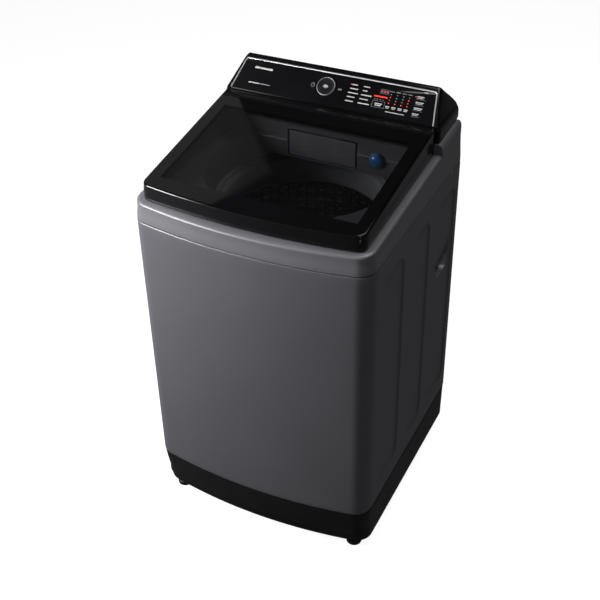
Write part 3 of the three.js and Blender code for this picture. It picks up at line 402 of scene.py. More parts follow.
def cut_away(piece, cutters, operation="DIFFERENCE"):
    """Cuts closed builders out of a piece, or joins them to it."""
    for builder in cutters:
        combine(piece, builder.piece("tool", "iron", "cabinet", None), operation)


def combine(piece, other, operation):
    """Joins or intersects a piece with another one, which is used up."""
    modifier = piece.modifiers.new("combine", "BOOLEAN")
    modifier.operation = operation
    modifier.solver = "EXACT"
    modifier.object = other
    bpy.context.view_layer.update()
    settled = piece.evaluated_get(bpy.context.evaluated_depsgraph_get())
    mesh = bpy.data.meshes.new_from_object(settled)
    piece.modifiers.clear()
    piece.data = mesh
    bpy.data.objects.remove(other)
    while len(piece.data.materials) > 1:
        piece.data.materials.pop()
    shade(piece, 35)


def soften(piece, width):
    bevel = piece.modifiers.new("soft_edges", "BEVEL")
    bevel.width = width * MM
    bevel.segments = 2
    bevel.limit_method = "ANGLE"
    bevel.angle_limit = math.radians(35)
    bevel.harden_normals = True


def rounded_rectangle(x0, x1, y0, y1, radius, steps=6):
    points = []
    corners = ((x1 - radius, y1 - radius, 0), (x0 + radius, y1 - radius, 90),
               (x0 + radius, y0 + radius, 180), (x1 - radius, y0 + radius, 270))
    for cx, cy, start in corners:
        for i in range(steps + 1):
            angle = math.radians(start + 90 * i / steps)
            points.append((cx + radius * math.cos(angle), cy + radius * math.sin(angle)))
    return points


def circle(radius, count, x=0.0, y=0.0):
    angles = [2 * math.pi * i / count for i in range(count)]
    return [(x + radius * math.cos(a), y + radius * math.sin(a)) for a in angles]


def turned(profile, count=64, x=0.0, y=0.0):
    """A body turned about an upright axis from (radius, z) points.

    A profile that starts and ends on the axis is capped there; any other is closed on itself as a ring."""
    builder = Builder()
    if profile[0][0] > 0 or profile[-1][0] > 0:
        builder.loft([[(px, py, z) for px, py in circle(r, count, x, y)] for r, z in profile], loop=True)
        return builder
    made = builder.loft([[(px, py, z) for px, py in circle(r, count, x, y)] for r, z in profile[1:-1]])
    for ring, (_, z) in ((made[0], profile[0]), (made[-1], profile[-1])):
        centre = builder.ring([(x, y, z)])[0]
        for i, a in enumerate(ring):
            builder.faces.append((centre, a, ring[(i + 1) % count]))
    return builder


def rounded_profile(corners, radius, steps):
    """Rounds every corner of a closed list of (r, z) points."""
    rounded = []
    count = len(corners)
    for i, corner in enumerate(corners):
        here = Vector(corner)
        before = Vector(corners[i - 1]) - here
        after = Vector(corners[(i + 1) % count]) - here
        reach = min(radius, before.length * 0.45, after.length * 0.45)
        start = here + before.normalized() * reach
        end = here + after.normalized() * reach
        for k in range(steps + 1):
            t = k / steps
            point = start * (1 - t) ** 2 + here * (2 * t * (1 - t)) + end * t * t
            rounded.append((point.x, point.y))
    return rounded


def bore(x, z, radius, y0, y1):
    """A round bar along y, to cut a hole with."""
    return Builder().solid([[(px + x, y, pz + z) for px, pz in circle(radius, 32)] for y in (y0, y1)])


def outline(half, front, back, bow, corner, rear, side_steps=26):
    """Plan outline with a bowed front, from the middle of the front round by the right side."""
    bow_steps, corner_steps, rear_steps = 28, 10, 5

    def slope_at(x):
        return 2 * bow * x / (half * half)

    meet = half - corner
    for _ in range(12):
        slope = slope_at(meet)
        meet = half - corner + corner * slope / math.hypot(1, slope)
    slope = slope_at(meet)
    centre_y = front + bow * (meet / half) ** 2 + corner / math.hypot(1, slope)
    start = math.atan2(-1, slope)
    across = [meet * i / bow_steps for i in range(bow_steps + 1)]
    right = [(x, front + bow * (x / half) ** 2) for x in across]
    for i in range(1, corner_steps + 1):
        angle = start * (1 - i / corner_steps)
        right.append((half - corner + corner * math.cos(angle), centre_y + corner * math.sin(angle)))
    for i in range(1, side_steps + 1):
        right.append((half, mix(centre_y, back - rear, i / side_steps)))
    for i in range(1, rear_steps + 1):
        angle = math.pi / 2 * i / rear_steps
        right.append((half - rear + rear * math.cos(angle), back - rear + rear * math.sin(angle)))
    for i in range(1, bow_steps + 1):
        right.append(((half - rear) * (1 - i / bow_steps), back))
    left = [(-x, y) for x, y in right[1:-1]]
    return right + left[::-1]


def body_outline(inset, **changes):
    shape = {
        "half": HALF_WIDTH - inset, "front": FRONT + inset, "back": BACK - inset, "bow": BOW,
        "corner": CORNER - min(inset, CORNER - 8), "rear": max(8 - inset, 2),
    }
    shape.update(changes)
    return outline(**shape)


def inset_outline(shape, inset, **changes):
    moved = dict(shape)
    moved["half"] -= inset
    moved["front"] += inset
    moved["back"] -= inset
    moved["corner"] = max(moved["corner"] - inset, 1.5)
    moved["rear"] = max(moved["rear"] - inset, 0.8)
    moved.update(changes)
    return outline(**moved)


def at_height(plan, height):
    """A plan outline at one height, or at a height that depends on y."""
    return [(x, y, height(y) if callable(height) else height) for x, y in plan]


# ---- Cabinet ----
def rounded_distance(u, v, u0, u1, v0, v1, radius):
    """Distance outside a rounded rectangle, negative inside it."""
    du = abs(u - (u0 + u1) / 2) - (u1 - u0) / 2 + radius
    dv = abs(v - (v0 + v1) / 2) - (v1 - v0) / 2 + radius
    return math.hypot(max(du, 0), max(dv, 0)) + min(max(du, dv), 0) - radius


def side_depth(y, z):
    """How far the cabinet's side falls in: three embossed bands, and the hand grip in the rear one."""
    depth = 0.0
    for y0, y1 in EMBOSS_BANDS:
        away = rounded_distance(y, z, y0, y1, EMBOSS_LOW, EMBOSS_HIGH, EMBOSS_RADIUS)
        depth = max(depth, EMBOSS_DEPTH * smooth(-away / EMBOSS_EDGE))
    bottom = GRIP_BOTTOM + 6 * smooth((160 - y) / 40)
    away = rounded_distance(y, z, GRIP_LEFT - 60, GRIP_RIGHT, bottom, GRIP_TOP + 60, 34)
    if away < 0 and z < GRIP_TOP:
        fall = ((GRIP_TOP - z) / (GRIP_TOP - GRIP_BOTTOM)) ** 1.4
        reach = smooth((y - GRIP_LEFT) / 40) * (0.55 + 0.45 * smooth((z - bottom) / 60 + 0.6))
        depth += GRIP_DEPTH * fall * reach * smooth(-away / 2.5)
    return depth


def spaced(start, stops):
    """Values from start through (end, step) stretches."""
    values = [start]
    for end, step in stops:
        count = max(1, round((end - values[-1]) / step))
        begin = values[-1]
        values.extend(begin + (end - begin) * (i + 1) / count for i in range(count))
    return values


def cabinet_wrap():
    """The steel wrap: one sheet from the rear left corner round the front to the rear right corner."""
    plan = body_outline(0, side_steps=2)
    middle = len(plan) // 2
    right = [p for p in plan[:middle] if p[0] != HALF_WIDTH]
    front_half = [p for p in right if p[1] < 0]
    rear_half = [p for p in right if p[1] > 0 and p[0] > 250]
    # Points lie close together where a band's edge or the grip bends the sheet.
    side_y = spaced(front_half[-1][1], (
        (-192, 9), (-178, 1.6), (-86, 8), (-71, 1.6), (-23, 8), (-9, 1.6), (64, 8), (78, 1.6), (118, 8),
        (134, 1.6), (205, 3.2), (240, 1.2), (BACK - 9, 5), (BACK - 8, 1)))[1:]
    right = front_half + [(HALF_WIDTH, y) for y in side_y] + rear_half
    path = [(-x, y) for x, y in right[:0:-1]] + right
    heights = spaced(BODY_BOTTOM, (
        (BODY_BOTTOM + 1.5, 0.5), (163, 12), (200, 2), (516, 26), (532, 0.9), (608, 2.6), (696, 22), (732, 2),
        (BODY_TOP - 3, 12), (BODY_TOP - SEAM, 0.5)))
    inner_shrink = 1 - SHEET / HALF_WIDTH
    outer = []
    inner = []
    for z in heights:
        lip = 0.9 * smooth((z - BODY_TOP + SEAM + 1.8) / 1.8) + 0.5 * smooth((BODY_BOTTOM + 1.4 - z) / 1.4)
        shrink = 1 - lip / HALF_WIDTH
        row_out = []
        row_in = []
        for x, y in path:
            inward = side_depth(y, z) if abs(x) == HALF_WIDTH else 0
            row_out.append((x * shrink - math.copysign(inward, x), y * shrink, z))
            row_in.append((x * inner_shrink - math.copysign(inward, x), y * inner_shrink, z))
        outer.append(row_out)
        inner.append(row_in)
    wrap = Builder().slab(outer, inner)
    wrap.piece("cabinet_wrap", "body_paint", "cabinet", "body_paint", ["cabinet_shell"], sharp=50)


def base_skirt():
    """The moulded base: a skirt that draws in towards the floor, open inside."""
    levels = [(BODY_BOTTOM - 0.6, 1.6), (BODY_BOTTOM - 1.6, 1)]
    levels += [(mix(BODY_BOTTOM - 1.6, BASE_BOTTOM + 5, t / 6), 1 + 0.3 * t) for t in range(1, 7)]
    levels += [(BASE_BOTTOM + 2, 3.4), (BASE_BOTTOM + 0.6, 4.6), (BASE_BOTTOM, 7)]

    def level(z, inset):
        drop = smooth((BODY_BOTTOM - z) / (BODY_BOTTOM - BASE_BOTTOM))
        plan = body_outline(inset, front=FRONT + inset + 14 * drop)
        return at_height(plan, z)

    rings = [level(z, inset) for z, inset in levels]
    rings += [at_height(body_outline(22), BASE_BOTTOM), at_height(body_outline(22), 50)]
    rings += [at_height(body_outline(7), 51), at_height(body_outline(7), BODY_BOTTOM - 0.6)]
    base = Builder()
    base.loft(rings, loop=True)
    skirt = base.piece("base_skirt", "base_plastic", "cabinet", "base_plastic", ["base_frame"])
    cutters = []
    for sx in (-1, 1):
        for sy in (-1, 1):
            foot_hole = [(0, 10), (21, 10), (21, 44), (0, 44)]
            cutters.append(turned(foot_hole, 40, sx * FEET["x"], sy * FEET["y"]))
    cut_away(skirt, cutters + [bore(-190, 92, 13.3, 230, 275)])
    for name, sx, sy in CORNERS:
        x, y = sx * FEET["x"], sy * FEET["y"]
        plate = [(x + px, y + py) for px, py in circle(26, 48)]
        pad = Builder()
        hole = []
        for px, py in plate:
            angle = math.atan2(py - y, px - x)
            hole.append((x + 6.4 * math.cos(angle), y + 6.4 * math.sin(angle)))
        levels = ((plate, 44), (plate, 53), (hole, 53), (hole, 44))
        pad.loft([at_height(plan, z) for plan, z in levels], loop=True)
        pad.piece(f"foot_pad_{name}", "base_plastic", "cabinet", "base_plastic")


def feet():
    """Moulded levelling feet with a threaded stud."""
    for name, sx, sy in CORNERS:
        profile = [(0, 0), (15.5, 0), (17.6, 1.2), (18, 3), (18, 9.2), (17, 10.6), (13.5, 13.6), (6.4, 14)]
        z = 16.0
        while z < 72:
            profile += [(5.6, z), (6, z + 0.8), (5.6, z + 1.6)]
            z += 2.4
        profile += [(5.4, 73.6), (4.6, 74), (0, 74)]
        foot = turned(profile, 48, sx * FEET["x"], sy * FEET["y"])
        foot.piece(f"levelling_foot_{name}", "base_plastic", f"foot_{name}", "base_plastic", [f"foot_{name}"])


# ---- Top cover ----
def polar_ring(plan, radius, height, flat=None):
    """A circle about the drum's axis, one point for each of the plan's, cut off flat at y = flat."""
    ring = []
    for x, y in plan:
        angle = math.atan2(y - DRUM_Y, x)
        py = DRUM_Y + radius * math.sin(angle)
        ring.append((radius * math.cos(angle), min(py, flat) if flat else py, height))
    return ring


def cover_block(drop, rise, width):
    """The cover's outside up to a plane `drop` below the rim, with a rounded shoulder."""
    rings = [at_height(body_outline(1.0), BODY_TOP + 0.3), at_height(body_outline(0.45), BODY_TOP + 1.1)]
    shoulder = [ledge_height(y) - 10 for _, y in body_outline(3.5)]
    for t in range(1, 9):
        plan = body_outline(0.45 + 3.05 * smooth(t / 8))
        rings.append([(x, y, mix(BODY_TOP + 1.1, top, t / 8)) for (x, y), top in zip(plan, shoulder)])
    for i in range(9):
        angle = math.pi / 2 * i / 8
        fall = drop + rise * (1 - math.sin(angle))
        plan = body_outline(3.5 + width * (1 - math.cos(angle)))
        rings.append(at_height(plan, lambda y, fall=fall: rim_height(y) - fall))
    return Builder().solid(rings)


def top_cover():
    """A ledge for the lid's walls, and a raised part with the well, the funnel and the console's seat."""
    cover = cover_block(LEDGE_DROP, 5, 7).piece(
        "top_cover_shell", "cover_plastic", "cabinet", "cover_plastic", ["top_cover"])
    tall = cover_block(0, 17, 9).piece("tall", "cover_plastic", "cabinet", None)
    upstand = inset_outline(LID, UPSTAND_INSET, back=STEP_Y + 10)
    raised = Builder().solid([at_height(upstand, z) for z in (700, 1000)])
    raised = raised.piece("raised", "iron", "cabinet", None)
    cut_away(raised, [Builder().block(-300, 300, STEP_Y, 300, 700, 1000, 0.1)], "UNION")
    combine(tall, raised, "INTERSECT")
    combine(cover, tall, "UNION")

    # Hollows under the deck and under the console, then the lower end of the funnel.
    inside = body_outline(7)
    low, high = BODY_TOP - 2, 812
    under_deck = Builder()
    beside = FUNNEL_UPPER + 5
    under_deck.loft([at_height(inside, low), at_height(inside, high), polar_ring(inside, beside, high),
                     polar_ring(inside, beside, low)], loop=True)
    hollows = [under_deck, Builder().block(-246, 246, STEP_Y + 4, BACK - 4, BODY_TOP - 3, 865, 0.3),
               Builder().block(-236, 236, WALL_Y + 4, STEP_Y + 5, BODY_TOP - 3, 861.5, 0.3)]
    cut_away(cover, hollows)
    sleeve = turned([(FUNNEL_LOWER - 4, FUNNEL_BOTTOM), (FUNNEL_LOWER + 3.5, FUNNEL_BOTTOM),
                     (FUNNEL_UPPER + 4, 786), (FUNNEL_LOWER - 4, 786)], 120, 0, DRUM_Y)
    cut_away(cover, [sleeve], "UNION")

    walls = ((9, DECK), (6, DECK + 0.3), (3, DECK + 1.5), (1, DECK + 4), (0, DECK + 8), (0, 900))
    well = Builder().solid([at_height(inset_outline(WELL, inset), z) for inset, z in walls])
    plan = circle(1, 120, 0, DRUM_Y)
    upper = ((6, DECK + 1), (5, DECK - 0.2), (1, DECK - 2), (-1.5, DECK - 6), (-6, 804), (-10, 790),
             (-11.2, 787))
    lower = ((FUNNEL_UPPER - 11.4, 786), (FUNNEL_LOWER + 1.5, 774), (FUNNEL_LOWER, 770), (FUNNEL_LOWER, 760))
    rings = [polar_ring(plan, FUNNEL_UPPER + wider, z, WALL_Y) for wider, z in upper]
    rings += [polar_ring(plan, radius, z) for radius, z in lower]
    cutters = [
        well,
        Builder().solid(rings),
        Builder().block(-84, 84, WALL_Y - 6, WALL_Y + 8, 791, 856, 3),
        bore(NOZZLE_X, NOZZLE_Z, 10.3, WALL_Y - 6, WALL_Y + 8),
        Builder().block(-222, -152, -206, -172, DECK - 16, DECK + 4, 3),
        bore(-205, 820, 9.3, 240, 275),
        bore(175, 828, 13.3, 240, 275),
        bore(120, 828, 13.3, 240, 275),
    ]
    cut_away(cover, cutters)


# ---- Lid ----
def lid_lower(y):
    """Lower edge of the lid's walls, just above the ledge."""
    return ledge_height(y) + 2


def lean_back(lean, inset=0.0):
    """The lid's outline, inset all round, with its front moved back by a further `lean`."""
    return inset_outline(LID, inset, front=LID["front"] + min(lean + inset, 2.9))


def lid_frame():
    """The lid's frame: walls down to the ledge, a seat for the glass and an opening under the window."""
    def above_lower(plan, rise):
        return at_height(plan, lambda y: lid_lower(y) + rise)

    def below_top(plan, drop):
        return at_height(plan, lambda y: lid_height(y) - drop)

    rings = [above_lower(inset_outline(LID, inset), rise)
             for inset, rise in ((LID_WALL, 0.6), (1.6, 0), (0.5, 0.5), (0, 1.8))]
    # The front face leans back above its middle; the top edge is rounded all round.
    for part, lean in ((0.3, 0), (0.5, 0.1), (0.6, 0.5), (0.72, 1.2)):
        rings.append(at_height(lean_back(lean), lambda y, part=part: mix(lid_lower(y), lid_height(y), part)))
    for i in range(8):
        angle = math.radians(68) * i / 7
        inset = 5.2 * (1 - math.cos(angle)) * 0.8
        rings.append(below_top(lean_back(2.4 * (1 - i / 7), inset), 5.2 * (1 - math.sin(angle))))
    seat_back = GLASS_BACK + 0.4
    rings.append(below_top(inset_outline(LID, 2.78, back=seat_back), 0.5))
    rings.append(below_top(inset_outline(LID, 2.8, back=seat_back), 4.3))
    radius = WINDOW["radius"]
    opening = outline(WINDOW["half"], WINDOW["front"], WINDOW["back"], 0.01, radius, radius)
    rings += [below_top(opening, 4.3), below_top(opening, 8), below_top(inset_outline(LID, LID_WALL), 8)]
    builder = Builder()
    builder.loft(rings, loop=True)
    lid = builder.piece("lid_surround", "lid_black", "lid", "lid_frame_black", ["lid_frame"])
    ribs = []
    behind = LID["back"] + 3
    slots = [Builder().block(-LID["half"] + LID_WALL, LID["half"] - LID_WALL, LID["back"] - 9, behind, 820,
                             rim_height(LID["back"]) + 2, 0.2)]
    for side in (-1, 1):
        x = side * HINGE["x"]
        for edge in (-7.5, 7.5):
            ribs.append(Builder().block(x + edge - 1.5, x + edge + 1.5, 118, LID["back"] - 2.2, 893.4,
                                        lid_height(118) - 7, 0.4))
        slots.append(Builder().block(x - 6, x + 6, HINGE["y"], behind, 860, 907, 0.2))
        slots.append(Builder().block(x - 15.5, x + 15.5, LID["back"] - 6, behind, 855, 876, 0.2))
    cut_away(lid, ribs, "UNION")
    cut_away(lid, slots)


def lid_glass():
    """The tempered pane, with ground round edges."""
    def ring(inset, drop):
        return at_height(inset_outline(LID, inset, back=GLASS_BACK - max(inset - 3.1, 0)),
                         lambda y, drop=drop: lid_height(y) - drop)

    rings = [ring(4.5, 4), ring(3.3, 3.8), ring(3.1, 3.2), ring(3.1, 0.75)]
    rings += [ring(3.1 + 4 * (1 - math.cos(a)), 0.75 * (1 - math.sin(a))) for a in (0.5, 1.0, 1.57)]
    rings += [ring(7.8, 0), ring(9, 0)]
    pane = Builder().solid(rings)
    pane.piece("lid_glass_pane", "smoked_glass", "lid", "smoked_glass", ["lid_glass"], sharp=60)


# ---- Console ----
def profile_front(z):
    if z <= PANEL_Z - 5:
        return PANEL_Y + 2.5
    if z <= PANEL_Z:
        return mix(PANEL_Y + 2.5, PANEL_Y, (z - PANEL_Z + 5) / 5)
    top = PANEL_Z + PANEL_LENGTH * math.sin(PANEL_SLOPE)
    if z <= top:
        return PANEL_Y + (z - PANEL_Z) / math.tan(PANEL_SLOPE)
    return mix(PANEL_Y + PANEL_LENGTH * math.cos(PANEL_SLOPE), CREST_Y, (z - top) / (CREST_Z - top))


def profile_back(z):
    if z <= 915:
        return BACK
    if z <= 921:
        return BACK - 5 * (z - 915) / 6
    if z < 965:
        share = (z - 921) / 44
        return mix(BACK - 5, CREST_Y + 8, smooth(share) * 0.25 + 0.75 * share)
    return mix(CREST_Y + 8, CREST_Y + 1, (z - 965) / 4)


def console_half(z):
    steps = ((866, 257), (900, 257), (906, 255.5), (912, 252), (925, 247), (945, 240), (960, 234.5),
             (966, 231), (969, 228))
    for (z0, w0), (z1, w1) in zip(steps, steps[1:]):
        if z <= z1:
            return mix(w0, w1, (z - z0) / (z1 - z0))
    return steps[-1][1]


def console():
    """The glossy console housing, drawn in towards its crest, with a recess for the panel."""
    def ring(z, inset=0.0, foot=False):
        half = console_half(z) - inset
        y0, y1 = profile_front(z) + inset, profile_back(z) - inset
        radius = min(7, (y1 - y0) / 2.3)
        plan = rounded_rectangle(-half, half, y0, y1, radius, 6)
        return [(x, y, (rim_height(y) + 0.3 if foot else z)) for x, y in plan]

    rings = [ring(880, 1.2, True), ring(884)]
    rings += [ring(z) for z in (890, 896, 900, 903, 906, 908, 910, 911, 913, 916, 920, 925, 930, 936, 942,
                                948, 954, 959, 962, 964)]
    rings += [ring(965.2, 0.2), ring(966.6, 0.8), ring(967.8, 1.6), ring(968.6, 2.2)]
    body = Builder().solid(rings)
    body = body.piece("console_body", "gloss_black", "cabinet", "gloss_black", ["console_shell"])
    recess = Builder().solid([[on_panel(x, v, w) for x, v in trim_path(-0.05, -4)] for w in (-3, 12)])
    stem_hole = circle(8, 32, DIAL_X, DIAL_V)
    well = Builder().solid([[on_panel(x, v, w) for x, v in stem_hole] for w in (-20, 1)])
    cut_away(body, [recess, well, bore(-120, 895, 14, 240, 280)])


def on_panel(x, v, w):
    """A point on the sloping panel: x across, v up the slope, w out of its face."""
    return (x, PANEL_Y + v * math.cos(PANEL_SLOPE) - w * math.sin(PANEL_SLOPE),
            PANEL_Z + v * math.sin(PANEL_SLOPE) + w * math.cos(PANEL_SLOPE))


def trim_path(inset, foot):
    """The panel's outline, from its lower left corner up, across and down to its lower right corner."""
    foot_half = TRIM_BOTTOM + (TRIM_TOP - TRIM_BOTTOM) * foot / TRIM_CORNER_V - inset
    reach = TRIM_CORNER - inset
    right = [(foot_half, foot)]
    for i in range(11):
        angle = math.pi / 2 * i / 10
        x, v = reach * math.cos(angle), reach * math.sin(angle)
        right.append((TRIM_TOP - TRIM_CORNER + x, TRIM_CORNER_V + v))
    return [(-x, v) for x, v in right] + right[::-1]


def panel():
    """The glossy face with a round hole for the dial, and the bright strip round three of its sides."""
    builder = Builder()
    dense = dense_loop(trim_path(3.5, 1), 12)
    hole = [(DIAL_X + DIAL_HOLE * math.cos(a), DIAL_V + DIAL_HOLE * math.sin(a))
            for a in (math.atan2(v - DIAL_V, x - DIAL_X) for x, v in dense)]
    levels = ((dense, -2.7), (dense, -0.25), (shrunk(dense, 0.25), 0), (hole, 0), (hole, -2.7))
    builder.loft([[on_panel(x, v, w) for x, v in plan] for plan, w in levels], loop=True)
    builder.piece("panel_face", "gloss_black", "cabinet", "gloss_black", ["console_panel"])

    outer, inner = trim_path(0.35, 1), trim_path(3.15, 1)
    strip = Builder()
    sections = []
    for (xo, vo), (xi, vi) in zip(outer, inner):
        section = []
        for t, w in ((0, -2.6), (0, 0.3), (0.2, 0.7), (0.5, 0.85), (0.8, 0.7), (1, 0.3), (1, -2.6)):
            section.append(on_panel(mix(xo, xi, t), mix(vo, vi, t), w))
        sections.append(section)
    strip.solid(sections)
    strip.piece("chrome_strip", "chrome", "cabinet", "chrome", ["chrome_trim"])


def dense_loop(points, step):
    """A closed loop with extra points so that no side is longer than step."""
    dense = []
    for (x0, y0), (x1, y1) in zip(points, points[1:] + points[:1]):
        count = max(1, math.ceil(math.hypot(x1 - x0, y1 - y0) / step))
        dense += [(mix(x0, x1, i / count), mix(y0, y1, i / count)) for i in range(count)]
    return dense


def shrunk(points, inset):
    xs = [x for x, _ in points]
    ys = [y for _, y in points]
    cx, cy = (min(xs) + max(xs)) / 2, (min(ys) + max(ys)) / 2
    wide, tall = (max(xs) - min(xs)) / 2, (max(ys) - min(ys)) / 2
    return [(cx + (x - cx) * (1 - inset / wide), cy + (y - cy) * (1 - inset / tall)) for x, y in points]


def panel_matrix():
    return Matrix.Translation(on_panel(DIAL_X, DIAL_V, 0)) @ Matrix.Rotation(PANEL_SLOPE, 4, "X")


def dial():
    seat = panel_matrix()
    knob = turned([(0, -16), (6.2, -16), (6.5, -15.4), (6.5, -2.6), (19.6, -2.6), (19.7, 3.0), (19.3, 3.9),
                   (17.6, 4.1), (16.8, 3.7), (15.9, 3.6), (8, 3.75), (0, 3.8)], 96)
    knob.piece("dial_cap", "dial_black", "dial", "dial_black", ["dial_knob"], seat, sharp=50)
    ring = turned([(19.95, -1.9), (20.9, -1.9), (21, -1.6), (21, 3.1), (20.85, 3.7), (20.5, 4.05),
                   (20.2, 4.1), (19.95, 3.9)], 96)
    ring.piece("dial_bezel", "chrome", "dial", "chrome", ["dial_ring"], seat, sharp=50)
    mark = Builder()
    for i in range(5):
        mark.block(-5.6 + 2.4 * i, -3.9 + 2.4 * i, -2.2, 0.2, 3.72, 3.95, 0.2)
    mark.block(-4, 4, 1.4, 2.6, 3.72, 3.95, 0.2)
    mark.block(-2.4, 2.6, -4.6, -3.6, 3.72, 3.95, 0.2)
    # The white mark carries the white print's painted glow.
    mark.piece("dial_mark", "legend_white", "dial", "dial_black", (), seat)


# ---- Printed legends and lights on the panel ----
def greeked(builder, x, v, width, height, seed):
    """A row of blocks that stands for a word, from x to x + width, about the height v."""
    end = x + width
    step = 0
    while x < end - 0.5:
        wide = 0.85 + 0.55 * ((seed * 7 + step * 5) % 4) / 3
        wide = min(wide, end - x)
        tall = height * (0.72 + 0.28 * ((seed * 3 + step * 7) % 3) / 2)
        flat_block(builder, x, x + wide, v - height / 2, v - height / 2 + tall)
        x += wide + 0.42
        step += 1


def flat_block(builder, x0, x1, v0, v1):
    plan = ((x0, v0), (x1, v0), (x1, v1), (x0, v1))
    builder.solid([[on_panel(x, v, w) for x, v in plan] for w in (PRINT_DEPTH, PRINT_HEIGHT)])


def ring_mark(builder, x, v, outer, inner):
    """A flat ring printed on the panel."""
    steps = 28
    sections = []
    for i in range(steps):
        angle = 2 * math.pi * i / steps
        section = []
        for radius, w in (
            (inner, PRINT_DEPTH), (outer, PRINT_DEPTH), (outer, PRINT_HEIGHT), (inner, PRINT_HEIGHT),
        ):
            section.append(on_panel(x + radius * math.cos(angle), v + radius * math.sin(angle), w))
        sections.append(section)
    builder.loft(sections, loop=True)


def legends():
    """Generic bars in place of all words, with the lights, the display and a few plain marks."""
    bright, dim, red, screen = Builder(), Builder(), Builder(), Builder()
    left_bars = ((37.5, 13), (35, 20), (33.5, 23), (34, 18), (33, 18.5))
    right_bars = ((64.5, 15.5), (65, 11), (64, 25), (63.5, 19.5), (63, 25.5))
    for bars, seed in ((left_bars, 1), (right_bars, 4)):
        for (x, width), v in zip(bars, COURSE_ROWS):
            greeked(bright, x, v, width, 2.6, seed)
            seed += 3
    flat_block(red, 34.2, 36.2, 59, 61)

    # Display window, the lit row under it, and the outlined key below that.
    flat_block(screen, 104, 125.5, 50.6, 62.4)
    for x in (107, 113.6, 120.2):
        flat_block(red, x, x + 2.6, 55, 58)
    greeked(red, 94, 44.1, 31, 3.4, 2)
    for x in (96, 102.5, 109, 115.5):
        flat_block(dim, x, x + 2, 36.4, 37.8)
    for x0, x1, v0, v1 in (
        (94.5, 123, 33, 33.4), (94.5, 123, 18.4, 18.8), (94.5, 94.9, 18.8, 33), (122.6, 123, 18.8, 33),
    ):
        flat_block(dim, x0, x1, v0, v1)
    greeked(bright, 100, 27.6, 17, 2.4, 3)
    greeked(bright, 101.5, 23.6, 14, 2.4, 6)

    # Four option columns with their lights, heads and keys.
    for column, x in enumerate(LED_COLUMNS):
        for row, v in enumerate(LED_ROWS):
            lit = (column == 0 and row > 0) or (column in (1, 2) and row == 3) or (column == 3 and row > 0)
            flat_block(red if lit else dim, x - 1.1, x + 1.1, v - 0.9, v + 0.9)
        greeked(dim, x - 4.5, 60, 10, 1.8, column + 2)
        greeked(bright, x - 4.6, 24.8, 9.4, 2.2, column + 5)
        greeked(bright, x - 3.8, 21.6, 7.6, 1.8, column + 3)
    greeked(bright, 129, 13, 43, 2, 7)

    # Keys at the right, the mark above them, and the plates at the left.
    for v, wide in ((58.6, 16), (45.4, 18), (32.2, 19), (19, 15)):
        greeked(bright, 188, v + 1.3, wide, 2.3, int(wide))
        greeked(bright, 189, v - 1.9, wide - 3, 1.7, int(wide) + 1)
        flat_block(dim, 187, 208, v - 5.4, v - 5.1)
    flat_block(red, 184, 185.8, 57.8, 59.6)
    greeked(bright, 200, 71.3, 9, 1.8, 5)
    greeked(bright, -200, 58, 44, 5, 3)
    greeked(bright, -203, 21, 27, 2.4, 6)
    greeked(dim, -174, 21, 24, 2.2, 4)

    ring_mark(dim, -51.4, 42.3, 4.6, 4.0)
    flat_block(dim, -51.7, -51.1, 42.6, 45)
    for x in (9.6, 11.6):
        flat_block(dim, x, x + 0.7, 40.2, 44.8)
    triangle = Builder()
    for w in (PRINT_DEPTH, PRINT_HEIGHT):
        triangle.ring([on_panel(14.2, 40.2, w), on_panel(18, 42.5, w), on_panel(14.2, 44.8, w)])
    triangle.faces = [(0, 1, 2), (3, 4, 5), (0, 1, 4, 3), (1, 2, 5, 4), (2, 0, 3, 5)]
    triangle.piece("start_mark", "legend_dim", "cabinet", "gloss_black")
    # The white legends carry the white print's painted glow.
    bright.piece("panel_legends", "legend_white", "cabinet", "gloss_black")
    dim.piece("panel_lines", "legend_dim", "cabinet", "gloss_black")
    red.piece("panel_lights", "led_red", "cabinet", "gloss_black")
    screen.piece("panel_display", "display", "cabinet", "gloss_black")


# ---- Drum and rings ----
def drum_relief(cell, row):
    """Height of the pressed pattern: pillows, and in every other column pyramids and diamonds by turns."""
    column, row_index = math.floor(cell), math.floor(row)
    u, v = abs(cell - column - 0.5) * 2, abs(row - row_index - 0.5) * 2
    if column % 2:
        return 3.2 * max(0, 1 - max(u, v)) if row_index % 2 else 3.0 * max(0, 1 - (u + v))
    return 1.6 * smooth((1 - max(u, v)) / 0.35)


def drum_wall():
    """The embossed wall with its floor pan, one closed body round the axis."""
    columns = DRUM_CELLS * 8
    inner_radius = DRUM_OUTER - DRUM_WALL
    heights = spaced(DRUM_BOTTOM + 24, ((EMBOSS_TOP, CELL_HEIGHT / 8), (DRUM_TOP, 8)))
    rings = []
    for z in heights:
        ring = []
        for i in range(columns):
            angle = 2 * math.pi * i / columns
            row = (EMBOSS_TOP - z) / CELL_HEIGHT
            relief = drum_relief(i / 8, row) if 0 < row < 16 else 0
            radius = inner_radius - relief
            ring.append((radius * math.cos(angle), DRUM_Y + radius * math.sin(angle), z))
        rings.append(ring)

    def plain(radius, z):
        return at_height(circle(radius, columns, 0, DRUM_Y), z)

    floor = DRUM_BOTTOM
    rings += [plain(radius, z) for radius, z in (
        (inner_radius + 0.4, DRUM_TOP), (DRUM_OUTER, DRUM_TOP), (DRUM_OUTER, floor + 22),
        (DRUM_OUTER - 2, floor + 13), (DRUM_OUTER - 9, floor + 4), (DRUM_OUTER - 22, floor), (60, floor),
        (60, floor + 2), (DRUM_OUTER - 23, floor + 2), (DRUM_OUTER - 11, floor + 6),
        (inner_radius - 2, floor + 14),
    )]
    builder = Builder()
    builder.loft(rings, loop=True)
    builder.piece("drum_wall", "drum_steel", "drum", "drum_steel", ["drum_basket"], sharp=60)


